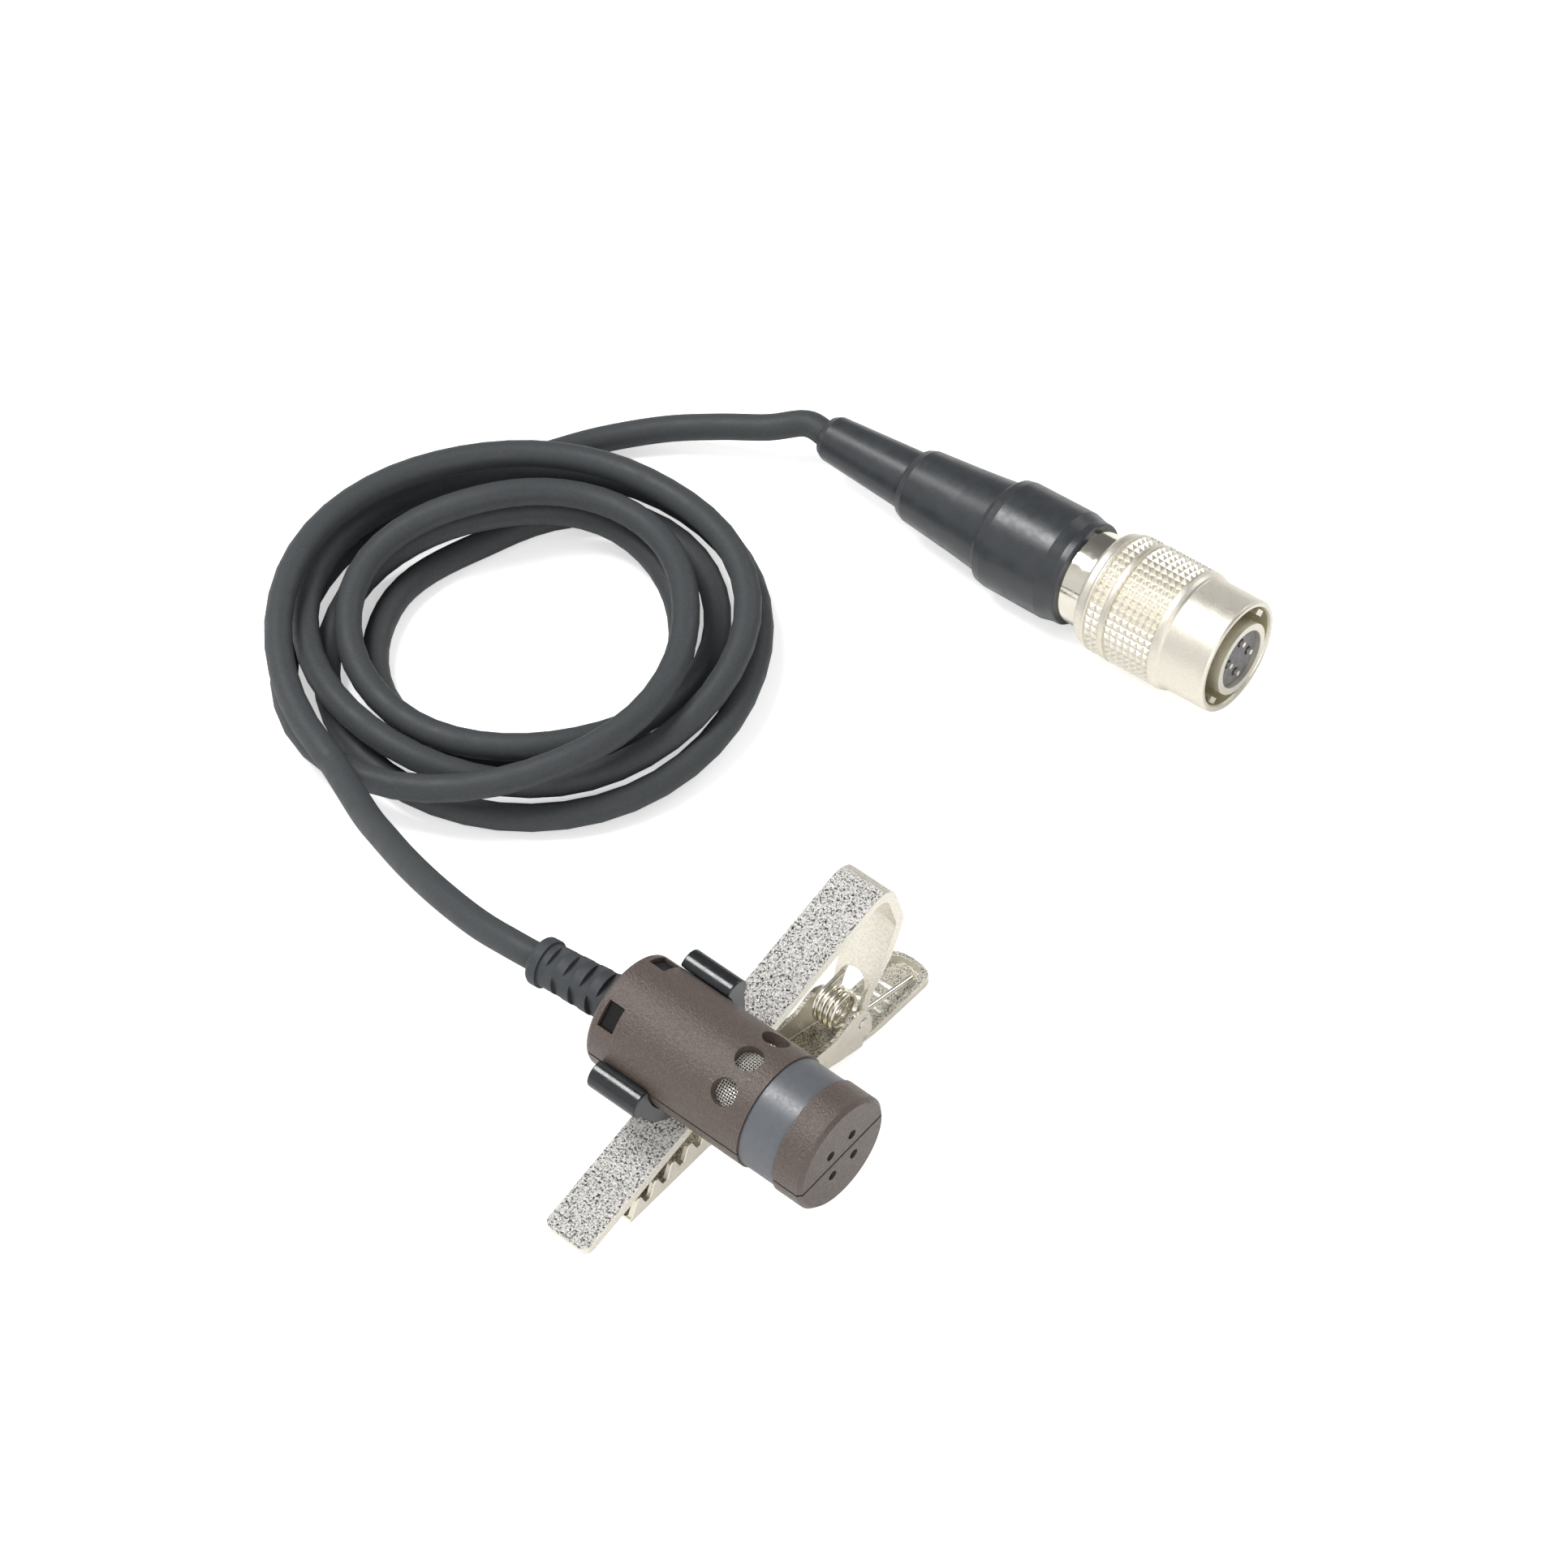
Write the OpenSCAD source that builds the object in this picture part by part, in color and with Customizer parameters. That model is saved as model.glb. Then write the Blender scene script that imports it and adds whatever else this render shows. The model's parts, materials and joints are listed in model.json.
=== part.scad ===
// Lavalier microphone with a hinged clip, a coiled cord and a locking plug.
// Millimetres, +Z up. The object stands on z = 0. X runs along the microphone, face to +X.

/* [Microphone barrel] */
// Outside diameter of the barrel
barrel_d = 10.4; // [10:0.1:12]
// Length of the barrel
barrel_l = 22.8; // [22.1:0.1:26]
// Wall of the barrel
barrel_wall = 0.9; // [0.8:0.05:1]
// Thickness of the front wall
face_t = 0.9; // [0.6:0.1:1.2]
// Radius of the rounded rear edge
rear_round = 0.5; // [0.4:0.1:1.5]
// Thickness of the barrel's rear wall
rear_t = 0.8; // [0.5:0.1:0.9]
// Angle by which the microphone is turned in its holder
mic_roll = 5; // [0:1:10]
// Bevel round the front face
face_bevel = 0.35; // [0.2:0.05:0.7]
// Diameter of each of the four face holes
face_hole_d = 0.9; // [0.6:0.1:1.2]
// Diameter of each side port
port_d = 2.4; // [1.6:0.1:2.8]
// Distance of the side ports from the face
port_x = 9.3; // [8.8:0.1:10]
// Depth of the groove where the two shells meet
seam_depth = 0.25; // [0.1:0.05:0.4]
// Width of that groove in each shell
seam_w = 0.12; // [0.05:0.01:0.2]

/* [Identification band] */
// Width of the band's groove
band_w = 3.7; // [2:0.1:4]
// Distance of the groove from the face
band_x = 2.9; // [2.5:0.1:3.5]
// Depth of the groove
band_depth = 0.4; // [0.3:0.05:0.45]
// Thickness of the band
band_t = 0.2; // [0.2:0.02:0.3]

/* [Capsule] */
// Diameter of the capsule can
capsule_d = 6; // [5:0.1:6.4]
// Length of the capsule can
capsule_l = 4.1; // [3.9:0.1:4.3]
// Sheet of the can
can_t = 0.15; // [0.1:0.05:0.2]
// Distance of the capsule's front from the barrel's face
capsule_x = 2; // [1.9:0.1:2.2]

/* [Strain relief] */
// Length of the strain relief behind the barrel
relief_l = 9.1; // [7.5:0.1:12]
// Diameter of the strain relief where it leaves the barrel
relief_d = 4.3; // [3.8:0.1:4.6]
// Angle by which the tail of the strain relief droops
relief_pitch = 3.8; // [0:0.2:5]
// Angle by which the tail of the strain relief leans to the side
relief_yaw = 3.6; // [0:0.2:5]
// Width of each cut in the strain relief
slot_w = 0.9; // [0.5:0.1:1]
// Distance from one cut to the next
slot_pitch = 1.8; // [1.6:0.1:1.9]
// Width of each latch nub
nub_w = 2.15; // [1.5:0.05:2.4]

/* [Cord] */
// Diameter of the cord
cord_d = 2.5; // [2:0.1:2.5]

/* [Clip holder] */
// Running gap between the holder and the barrel
holder_gap = 0.05; // [0.03:0.01:0.1]
// Thickness of the holder under the barrel
holder_base = 0.67; // [0.6:0.01:1.2]
// Length of the holder along the barrel
holder_l = 5.1; // [5:0.1:6.5]
// Distance of the holder's rear edge from the barrel's rear edge
holder_back = 1.9; // [1:0.1:2]
// Radius of the rod along each lip
rod_r = 1.3; // [0.9:0.05:1.35]

/* [Clip] */
// Width of the top jaw
jaw_w = 4.6; // [4.4:0.1:5]
// Distance of the clip's near side in front of the holder's front
jaw_lead = 1.35; // [0.9:0.05:1.4]
// Sheet of the top jaw
sheet_t = 1.1; // [0.8:0.05:1.1]
// Sheet of the lower jaw
channel_t = 0.5; // [0.4:0.05:0.6]
// Slope of the top jaw
clip_tilt = 16.8; // [15:0.1:17]
// Length of the top jaw in front of the barrel's axis
jaw_front = 17.3; // [12:0.1:20]
// Distance from the barrel's axis to the fold
fold_y = 20.3; // [20:0.1:22]
// Outside radius of the fold
fold_r = 2.4; // [2:0.1:2.5]
// Radius of the hinge stubs
stub_r = 0.45; // [0.3:0.05:0.5]
// Running gap round the hinge stubs
stub_gap = 0.05; // [0.03:0.01:0.1]
// Gap between the leg and the walls of the lower jaw
side_gap = 0.1; // [0.05:0.01:0.2]
// Spacing of the teeth
tooth_pitch = 2.1; // [1.8:0.1:2.2]
// Height of the teeth
tooth_h = 1.4; // [0.8:0.1:1.5]
// Number of ribs on the thumb pad
rib_count = 4; // [2:1:5]
// Wire of the clip spring
spring_wire = 0.38; // [0.3:0.02:0.38]
// Radius of the spring's curls at the middle of the wire
spring_r = 1.65; // [1.5:0.05:1.7]

/* [Plug] */
// Diameter of the coupling sleeve's front
sleeve_d = 10.9; // [10.7:0.1:11.2]
// Diameter over the gripping bands
grip_d = 11.6; // [11.4:0.1:12]
// Wall of the sleeve at its front
sleeve_wall = 0.65; // [0.5:0.05:0.8]
// Diameter of the inner barrel
plug_barrel_d = 7; // [6.8:0.1:7.1]
// Bore of the inner barrel
plug_bore_d = 5.7; // [5.5:0.1:5.9]
// Diameter of each contact pin
pin_d = 0.5; // [0.4:0.05:0.6]
// Spacing of the contact pins
pin_pitch = 2.2; // [2:0.1:2.3]
// Backward travel of the coupling sleeve
sleeve_travel = 1; // [0.8:0.1:1]
// Running gap between sliding pieces of the plug
slide_gap = 0.05; // [0.03:0.01:0.1]

/* [Hidden] */
$fn = 64;

// Small standing gap between neighbours that touch on the real object
fit = 0.02;
// Overshoot of a cutting solid
over = 1;

// Point of the top jaw's upper face that lies under the barrel's axis, as [y, z]
plate_at = [1.41, 12.31];
barrel_r = barrel_d / 2;
cavity_r = barrel_r - barrel_wall;
cradle_r = barrel_r + holder_gap;
// Height of the barrel's axis over the top jaw
axis_h = cradle_r + holder_base;
mic_y = plate_at[0] - axis_h * sin(clip_tilt);
mic_z = plate_at[1] + axis_h * cos(clip_tilt);

// Barrel, measured back from the face
band_end = band_x + band_w;
inner_l = barrel_l - rear_t;
capsule_end = capsule_x + capsule_l;
rib_t = 0.4;
capsule_rib_x = capsule_end + 0.05;
ferrule_rib_x = inner_l - 3.5;
flange_t = 1.5;
flange_x = inner_l - flange_t - 0.05;
window_l = flange_t + 0.1;
window_w = nub_w + 0.2;
window_angle = 40;
port_angles = [-38, 0, 38];
cord_r = cord_d / 2;
cord_hole_r = cord_r + fit;
neck_r = relief_d / 2 + 0.2;
relief_end = barrel_l + relief_l;
// The tail of the strain relief bends here; both of its straight parts run past the bend a little
bend_x = barrel_l + 0.6;
bend_past = 0.2;
collar_w = 1.1;
slot_from = 0.4;
tail_l = relief_end - bend_x;
entry_x = ferrule_rib_x + rib_t + 0.05;
// Distance of the holder's front from the barrel's face
holder_x = barrel_l - holder_back - holder_l;
wire_r = 0.2;
wire_y = 0.6;

// Clip, in the frame of the top jaw: origin at plate_at, Y along the jaw, Z off its upper face
pivot_at = [19.6, 3.6];
// Distance of the hinge axis inside the leg's outer face
pivot_inset = 1.16;
clip_mid_x = jaw_lead - holder_x - jaw_w / 2;
rivet_x = (clip_mid_x - jaw_w / 2 - holder_x) / 2;
channel_w = jaw_w + 0.2;
leg_low_w = channel_w - 2 * channel_t - 2 * side_gap;
eye_r = 0.7;
arch_w = leg_low_w - 1;
arch_h = 4.2;
// Heights over the hinge between which the leg narrows, and the length of the cuts through it
taper_from = 2.4;
taper_to = 6.5;
leg_cut_l = 6;
fold_drop = 3.23;
pivot_rel = pivot_at - plate_at;
pivot_local = [
  pivot_rel[0] * cos(clip_tilt) + pivot_rel[1] * sin(clip_tilt),
  pivot_rel[1] * cos(clip_tilt) - pivot_rel[0] * sin(clip_tilt)
];
bend_at = [fold_y, -fold_r - fold_drop];
bend_rel = bend_at - pivot_local;
leg_angle = atan2(bend_rel[1], bend_rel[0]) - asin((fold_r - pivot_inset) / norm(bend_rel));
rivet_r = 0.7;
rivet_head_r = 1.2;
// Holder: its thickness at the sides, its rods from the barrel's axis, and how far its mouth closes in
holder_arm_t = 1.35;
rod_at = [5.9, 0.5];
mouth_in = 0.6;

// Side view of the lower jaw, as [y, z] points
jaw_tip_y = -9.7;
jaw_tip = [[jaw_tip_y + 0.3, 6.7], [jaw_tip_y, 6.1]];
pad_end_y = 29.3;
jaw_under = [[jaw_tip_y, 5.75], [0, 6.25], [1.2, 5.95], [16.5, 1.3], [19.3, 0.55]];
pad_under = [[20.8, 0.25], [21.3, 0.15], [22.7, 0], [28.8, 0], [pad_end_y, 0.3]];
ear_top = [
  [20.8, 3.1], [20.6, 3.9], [19.9, 4.8], [18.9, 5.3], [18.2, 5.4], [17.3, 5], [16.2, 4.5],
  [12, 4.9], [8, 5.9], [4, 7.2]
];
tooth_count = 5;
tooth_first_y = -8.6;
tooth_first_z = 8.05;
tooth_slope = 0.14;
// Rear foot of the last tooth
teeth_end_y = tooth_first_y + tooth_pitch * (tooth_count - 0.38);
// Thumb pad: where it starts, how far its sides stand in from the walls, and the height of its rim and end
pad_from_y = 19.9;
pad_inset = 0.25;
rim_z = 0.95;
lip_z = 1.2;
lip_from_y = 27.4;
// First rib of the thumb pad, and the size of each rib
rib_from_y = 21.8;
rib_pitch = 1.25;
rib_w = 0.5;
rib_z = 0.25;
corner_r = 0.8;

// Clip spring: curls round an axis along X, as [y, z]
spring_at = [18.4, 5];
spring_curls = 3;
spring_pitch = 0.8;
spring_near_x = clip_mid_x + 1;
near_leg_angle = -13.5;
near_leg_l = 9.9;
far_leg_angle = 5;
far_leg_l = 2.8;

// Plug, measured back from the coupling sleeve's front along the plug's axis
plug_at = [-14.27, 70.68, 6.24];
plug_yaw = 2;
plug_pitch = 2;
sleeve_r = sleeve_d / 2;
grip_r = grip_d / 2;
sleeve_bore_r = sleeve_r - sleeve_wall;
sleeve_l = 14.3;
plug_barrel_r = plug_barrel_d / 2;
land_x = 6.2;
land_end = 9.2;
neck_shell_r = 4.5;
collar_x = 12.6;
collar_end = 13.4;
collar_r = neck_shell_r + 0.3;
boot_x = sleeve_l + sleeve_travel + 1.3;
shell_tail_r = 4.1;
shell_end = 24;
boot_end = 46;
// Outline of the boot, as [radius, x] points from its front to its mouth
boot_side = [
  [4.9, -boot_x], [5, -boot_x - 0.15], [5.02, -17.4], [5.3, -18.6], [5.25, -24.8], [5.1, -25.6], [4.6, -25.9],
  [4.5, -26.2], [4.1, -29.5], [3.57, -35], [3.3, -35.7], [2.85, -36], [2.2, -45.2], [1.9, -45.8], [1.6, -boot_end]
];
// Outline of the coupling sleeve behind its front band
sleeve_side = [
  [sleeve_r, -4.8], [grip_r - 0.15, -4.9], [grip_r - 0.05, -5.2], [grip_r, -5.6], [grip_r, -10.7],
  [grip_r - 0.2, -10.8], [grip_r - 0.2, -11.3], [grip_r - 0.05, -11.4], [grip_r - 0.05, -13.05],
  [grip_r - 0.3, -13.2], [grip_r - 0.32, -13.8], [grip_r - 0.45, -14.05], [grip_r - 0.8, -14.2]
];
clamp_x = 19;
clamp_l = 3;
tail_x = clamp_x - 1;
// How far the inner barrel and the pins stand out of the sleeve
barrel_out = 0.4;
pin_out = 0.35;
insulator_x = 0.05;
insulator_l = 7.95;
pin_end = insulator_x + insulator_l + 1.5;
// Angles of the pins and of the claws round the plug's axis
pin_turn = 31;
claw_turn = -51.5;
claw_r = plug_barrel_r + 0.6;
sleeve_wire = 0.4;
sleeve_curls = 3;

// Cord: routes as [x, y, z] points of its centre line, chosen by hand
mic_route = [
  [-38.85, -0.65, 16.2], [-44.3, 0.5, 14.7], [-49.75, 2.35, 12.55], [-54.7, 4.4, 10.45], [-58.85, 6.35, 8.5]
];
plug_route = [
  [-77.8, 56.9, 1.6], [-73.7, 61.6, 2.2], [-69.5, 64.6, 3], [-65.5, 66.9, 3.8]
];
// Coil: centre, and for every loop the radius and height at each sixth of a turn
coil_at = [-67.67, 35.28];
coil_turns = 5.375;
coil_start_angle = -90;
coil_r = [
  [25, 19.75, 16.25, 17.25, 20.75, 20],
  [19.5, 18.75, 17, 19.75, 21.75, 22.75],
  [20.25, 15.5, 11.25, 13.5, 14.75, 16],
  [15, 12, 11, 16.75, 17.75, 17],
  [16.25, 14.5, 10.75, 13.25, 15.25, 20.5],
  [23.75, 19.5, 19, 24.25]
];
coil_z = [
  [6.75, 7.5, 7.25, 6.75, 6.5, 3],
  [4.75, 4.5, 3.75, 2.5, 3, 1.75],
  [1.5, 2.5, 4.5, 3.25, 1.5, 1.25],
  [1.5, 1.5, 1.25, 1.75, 2.75, 4.5],
  [4.25, 5.5, 7.5, 6.5, 7.5, 7.25],
  [3.75, 1.5, 1.5, 2.25]
];
// Radius and height that the curve aims from before the first loop and at after the last
coil_lead_in = [34, 8];
coil_lead_out = [30, 3];
coil_rings = 24;
coil_sides = 6;
cord_sides = 8;

// The whole object is moved so that the origin is under the middle of the microphone and clip
reach_front = jaw_front * cos(clip_tilt) - plate_at[0];
shift = [relief_end / 2, (reach_front - pad_end_y) / 2, 0];

function unit(v) = v / norm(v);
// Direction of -X after a turn by pitch and then by yaw
function back_along(pitch, yaw) = [-cos(pitch) * cos(yaw), -cos(pitch) * sin(yaw), -sin(pitch)];
function flat(rows) = [for (row = rows) each row];
function arc(at, r, from, to, steps) =
  [for (i = [0:steps]) let (a = from + (to - from) * i / steps) at + r * [cos(a), sin(a)]];

// Curve through the values v at u = 0, 1, 2, with one value more at each end
function blend(v, u) =
  let (i = min(floor(u), len(v) - 4), t = u - i)
  let (a = v[i], b = v[i + 1], c = v[i + 2], d = v[i + 3])
  (2 * b + (c - a) * t + (2 * a - 5 * b + 4 * c - d) * t * t + (3 * b - 3 * c + d - a) * t * t * t) / 2;

// Sweeping a round section along points
function leg_dir(p, i) = unit(p[i + 1] - p[i]);
function travel(p, i) =
  i == 0 ? leg_dir(p, 0) : i == len(p) - 1 ? leg_dir(p, i - 1) : unit(leg_dir(p, i - 1) + leg_dir(p, i));
function ring(at, dir, r, sides, ref) =
  let (side = unit(cross(dir, ref)), up = cross(side, dir))
  [for (k = [0:sides - 1]) let (a = 360 * k / sides) at + r * (cos(a) * side + sin(a) * up)];

module swept(p, r, sides, ref = [0, 0, 1]) {
  rings = len(p);
  last = (rings - 1) * sides;
  points = [for (i = [0:rings - 1]) each ring(p[i], travel(p, i), r, sides, ref)];
  start_cap = [for (k = [1:sides - 2]) [0, k + 1, k]];
  end_cap = [for (k = [1:sides - 2]) [last, last + k, last + k + 1]];
  skin_a = [
    for (i = [0:rings - 2], k = [0:sides - 1])
      [i * sides + k, i * sides + (k + 1) % sides, (i + 1) * sides + (k + 1) % sides]
  ];
  skin_b = [
    for (i = [0:rings - 2], k = [0:sides - 1])
      [i * sides + k, (i + 1) * sides + (k + 1) % sides, (i + 1) * sides + k]
  ];
  polyhedron(points = points, faces = concat(start_cap, end_cap, skin_a, skin_b), convexity = 10);
}

// Centre line of the coil
coil_r_all = concat([coil_lead_in[0]], flat(coil_r), [coil_lead_out[0]]);
coil_z_all = concat([coil_lead_in[1]], flat(coil_z), [coil_lead_out[1]]);
function coil_point(turn) =
  let (a = coil_start_angle - 360 * turn, r = blend(coil_r_all, turn * 6), z = blend(coil_z_all, turn * 6))
  [coil_at[0] + r * cos(a), coil_at[1] + r * sin(a), max(cord_r, z)];
coil_loops = [for (i = [0:coil_rings * coil_turns]) coil_point(i / coil_rings)];
coil_count = len(coil_loops);
coil_in_dir = unit(coil_loops[1] - coil_loops[0]);
coil_out_dir = unit(coil_loops[coil_count - 1] - coil_loops[coil_count - 2]);
coil_in = coil_loops[0] - cord_d * coil_in_dir;
coil_out = coil_loops[coil_count - 1] + cord_d * coil_out_dir;
coil_path = concat([coil_in], coil_loops, [coil_out]);

relief_back = back_along(relief_pitch, relief_yaw);
relief_mouth = [-bend_x, mic_y, mic_z] + tail_l * relief_back;
entry_path = [[-entry_x, mic_y, mic_z], [-bend_x, mic_y, mic_z], relief_mouth];
mic_path = concat(
  [relief_mouth, relief_mouth + cord_d * relief_back], mic_route, [coil_in - cord_d * coil_in_dir, coil_in]
);
plug_back = back_along(plug_pitch, plug_yaw);
boot_mouth = plug_at + boot_end * plug_back;
plug_path = concat(
  [coil_out, coil_out + cord_d * coil_out_dir], plug_route, [boot_mouth + cord_d * plug_back, boot_mouth]
);

// Least distance between points of a path that lie at least skip points apart along it
function least_gap(p, skip) =
  min([for (i = [0:len(p) - 1 - skip], j = [i + skip:len(p) - 1]) norm(p[i] - p[j])]);
echo(coil_gap = least_gap(coil_path, 12) - cord_d);

// Clip spring: near leg, curls, far leg
spring_start = near_leg_angle - 90;
spring_sweep = spring_start - far_leg_angle - 90 + 360 * spring_curls;
spring_steps = round(spring_sweep / 45);
function spring_point(a) = [
  spring_near_x - spring_pitch * a / 360,
  spring_at[0] + spring_r * cos(spring_start - a),
  spring_at[1] + spring_r * sin(spring_start - a)
];
spring_loops = [for (i = [0:spring_steps]) spring_point(spring_sweep * i / spring_steps)];
near_leg_end = spring_loops[0] + near_leg_l * [0, cos(near_leg_angle), sin(near_leg_angle)];
far_leg_end = spring_loops[spring_steps] + far_leg_l * [0, cos(far_leg_angle), sin(far_leg_angle)];
spring_path = concat([near_leg_end], spring_loops, [far_leg_end]);
echo(clip_spring_gap = least_gap(spring_loops, 6) - spring_wire);

// Sleeve spring, along the plug's axis
sleeve_spring_r = (plug_barrel_r + sleeve_bore_r) / 2;
sleeve_spring_from = -land_end - sleeve_wire / 2 - fit;
sleeve_spring_to = -collar_x + sleeve_wire / 2 + fit;
sleeve_spring_steps = 8 * sleeve_curls;
sleeve_spring_path = [
  for (i = [0:sleeve_spring_steps])
    let (a = 360 * sleeve_curls * i / sleeve_spring_steps)
    [
      sleeve_spring_from + (sleeve_spring_to - sleeve_spring_from) * i / sleeve_spring_steps,
      sleeve_spring_r * cos(a),
      sleeve_spring_r * sin(a)
    ]
];
echo(sleeve_spring_gap = least_gap(sleeve_spring_path, 6) - sleeve_wire);

// Placing
module placed() translate(shift) children();
module on_mic_axis() translate([0, mic_y, mic_z]) rotate([mic_roll, 0, 0]) children();
module on_tail() {
  translate([-bend_x, mic_y, mic_z]) rotate([0, -relief_pitch, relief_yaw]) rotate([mic_roll, 0, 0]) children();
}
// Turns a profile of [radius, x] points round the X axis
module turned() rotate([0, 90, 0]) rotate_extrude() children();
// Round bar along X from x = from to x = to
module bar(r, from, to) translate([from, 0, 0]) rotate([0, 90, 0]) cylinder(r = r, h = to - from);
module tube(r, bore, from, to) {
  difference() {
    bar(r, from, to);
    bar(bore, from - over, to + over);
  }
}
// Drawing in the [y, z] plane, drawn out along X from x = from
module across(from, w) translate([from, 0, 0]) rotate([90, 0, 90]) linear_extrude(w) children();
module in_clip() translate([0, plate_at[0], plate_at[1]]) rotate([clip_tilt, 0, 0]) children();
module in_plug() translate(plug_at) rotate([0, -plug_pitch, plug_yaw]) children();

// Half of the barrel, above its axis
module barrel_half() {
  difference() {
    turned() polygon(concat(
      [
        [0, 0], [barrel_r - face_bevel, 0], [barrel_r, -face_bevel],
        [barrel_r, -band_x], [barrel_r - band_depth, -band_x],
        [barrel_r - band_depth, -band_end], [barrel_r, -band_end]
      ],
      arc([barrel_r - rear_round, rear_round - barrel_l], rear_round, 0, -90, 6),
      [
        [neck_r + fit, -barrel_l], [neck_r + fit, -inner_l], [cavity_r, -inner_l],
        [cavity_r, -ferrule_rib_x - rib_t], [cord_r + wire_r, -ferrule_rib_x - rib_t],
        [cord_r + wire_r, -ferrule_rib_x], [cavity_r, -ferrule_rib_x],
        [cavity_r, -capsule_rib_x - rib_t], [capsule_d / 2 - 0.4, -capsule_rib_x - rib_t],
        [capsule_d / 2 - 0.4, -capsule_rib_x], [cavity_r, -capsule_rib_x],
        [cavity_r, -face_t], [0, -face_t]
      ]
    ));
    translate([-barrel_l - over, -barrel_d, -barrel_d]) cube([barrel_l + 2 * over, 2 * barrel_d, barrel_d]);
    difference() {
      translate([-barrel_l - over, -barrel_d, -over]) cube([barrel_l + 2 * over, 2 * barrel_d, over + seam_w]);
      bar(barrel_r - seam_depth, -barrel_l - 2 * over, -seam_depth);
    }
    for (a = port_angles) {
      translate([-port_x, 0, 0]) rotate([a, 0, 0]) cylinder(d = port_d, h = barrel_d);
    }
    for (a = [-window_angle, window_angle]) {
      rotate([a, 0, 0]) translate([-inner_l, -window_w / 2, 0]) cube([window_l, window_w, barrel_d]);
    }
    for (y = [-1.3, 1.3]) {
      translate([-face_t - over, y, 1.4]) rotate([0, 90, 0]) cylinder(d = face_hole_d, h = face_t + 2 * over);
    }
  }
}
module upper_shell() color("#6c5f57") placed() on_mic_axis() barrel_half();
module lower_shell() color("#6c5f57") placed() on_mic_axis() mirror([0, 0, 1]) barrel_half();

module id_band() {
  groove_r = barrel_r - band_depth;
  color("#55585c") placed() on_mic_axis() tube(groove_r + fit + band_t, groove_r + fit, fit - band_end, -band_x - fit);
}

module front_mesh() color("#c8c8c6") placed() on_mic_axis() bar(cavity_r - 2 * fit, -face_t - 0.2, -face_t - 0.05);

module port_mesh() {
  half_l = port_d / 2 + 0.15;
  color("#c8c8c6") placed() on_mic_axis()
    tube(cavity_r - fit, cavity_r - 0.2, -port_x - half_l, half_l - port_x);
}

// Distances behind the capsule's front of the pieces stacked in it
ring_at = can_t + fit;
ring_l = 0.33;
spacer_at = ring_at + ring_l + fit;
spacer_l = 0.1;
plate_x = spacer_at + spacer_l + fit;
plate_l = 0.46;
cup_at = plate_x + plate_l + fit;
board_l = 0.58;
board_at = capsule_l - can_t - fit - board_l;
inside_r = capsule_d / 2 - can_t - fit;
module in_capsule() color("#b9bbbc") placed() on_mic_axis() translate([-capsule_x, 0, 0]) children();

module capsule_can() {
  in_capsule() turned() polygon([
    [0.5, 0], [capsule_d / 2, 0], [capsule_d / 2, -capsule_l], [capsule_d / 2 - 0.7, -capsule_l],
    [capsule_d / 2 - 0.7, can_t - capsule_l], [capsule_d / 2 - can_t, can_t - capsule_l],
    [capsule_d / 2 - can_t, -can_t], [0.5, -can_t]
  ]);
}
module diaphragm() {
  in_capsule() turned() polygon([
    [0, -ring_at - ring_l], [inside_r, -ring_at - ring_l], [inside_r, -ring_at],
    [inside_r - 0.5, -ring_at], [inside_r - 0.5, fit - ring_at - ring_l], [0, fit - ring_at - ring_l]
  ]);
}
module spacer_ring() in_capsule() tube(inside_r, inside_r - 0.4, -spacer_at - spacer_l, -spacer_at);
module back_plate() {
  in_capsule() difference() {
    bar(inside_r, -plate_x - plate_l, -plate_x);
    for (i = [0:5]) {
      rotate([60 * i, 0, 0]) translate([0, 1.5, 0]) bar(0.3, -plate_x - plate_l - over, over);
    }
  }
}
module capsule_insulator() in_capsule() tube(inside_r, inside_r - 0.3, fit - board_at, -cup_at);
module capsule_board() {
  in_capsule() {
    bar(inside_r, -board_at - board_l, -board_at);
    translate([-board_at, -0.8, -0.6]) cube([0.9, 1.6, 1.2]);
  }
}
module capsule_gasket() {
  front = -face_t - 0.25;
  color("#2b2d2e") placed() on_mic_axis() turned() polygon([
    [capsule_d / 2 - 0.5, front], [cavity_r - fit, front], [cavity_r - fit, -capsule_end],
    [capsule_d / 2 + fit, -capsule_end], [capsule_d / 2 + fit, 0.05 - capsule_x],
    [capsule_d / 2 - 0.5, 0.05 - capsule_x]
  ]);
}
module lead_wires() {
  from = -entry_x + fit;
  to = -capsule_x - board_at - board_l - fit;
  color("#b8452f") placed() on_mic_axis() {
    for (y = [-wire_y, wire_y]) {
      translate([0, y, 0]) bar(wire_r, from, to);
    }
  }
}
module cable_ferrule() {
  color("#c9a545") placed() on_mic_axis() tube(cord_r + 0.5, cord_hole_r, 0.05 - flange_x, -entry_x - 0.1);
}
module cable_entry() color("#3e4245") placed() swept(entry_path, cord_r, cord_sides);

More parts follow.
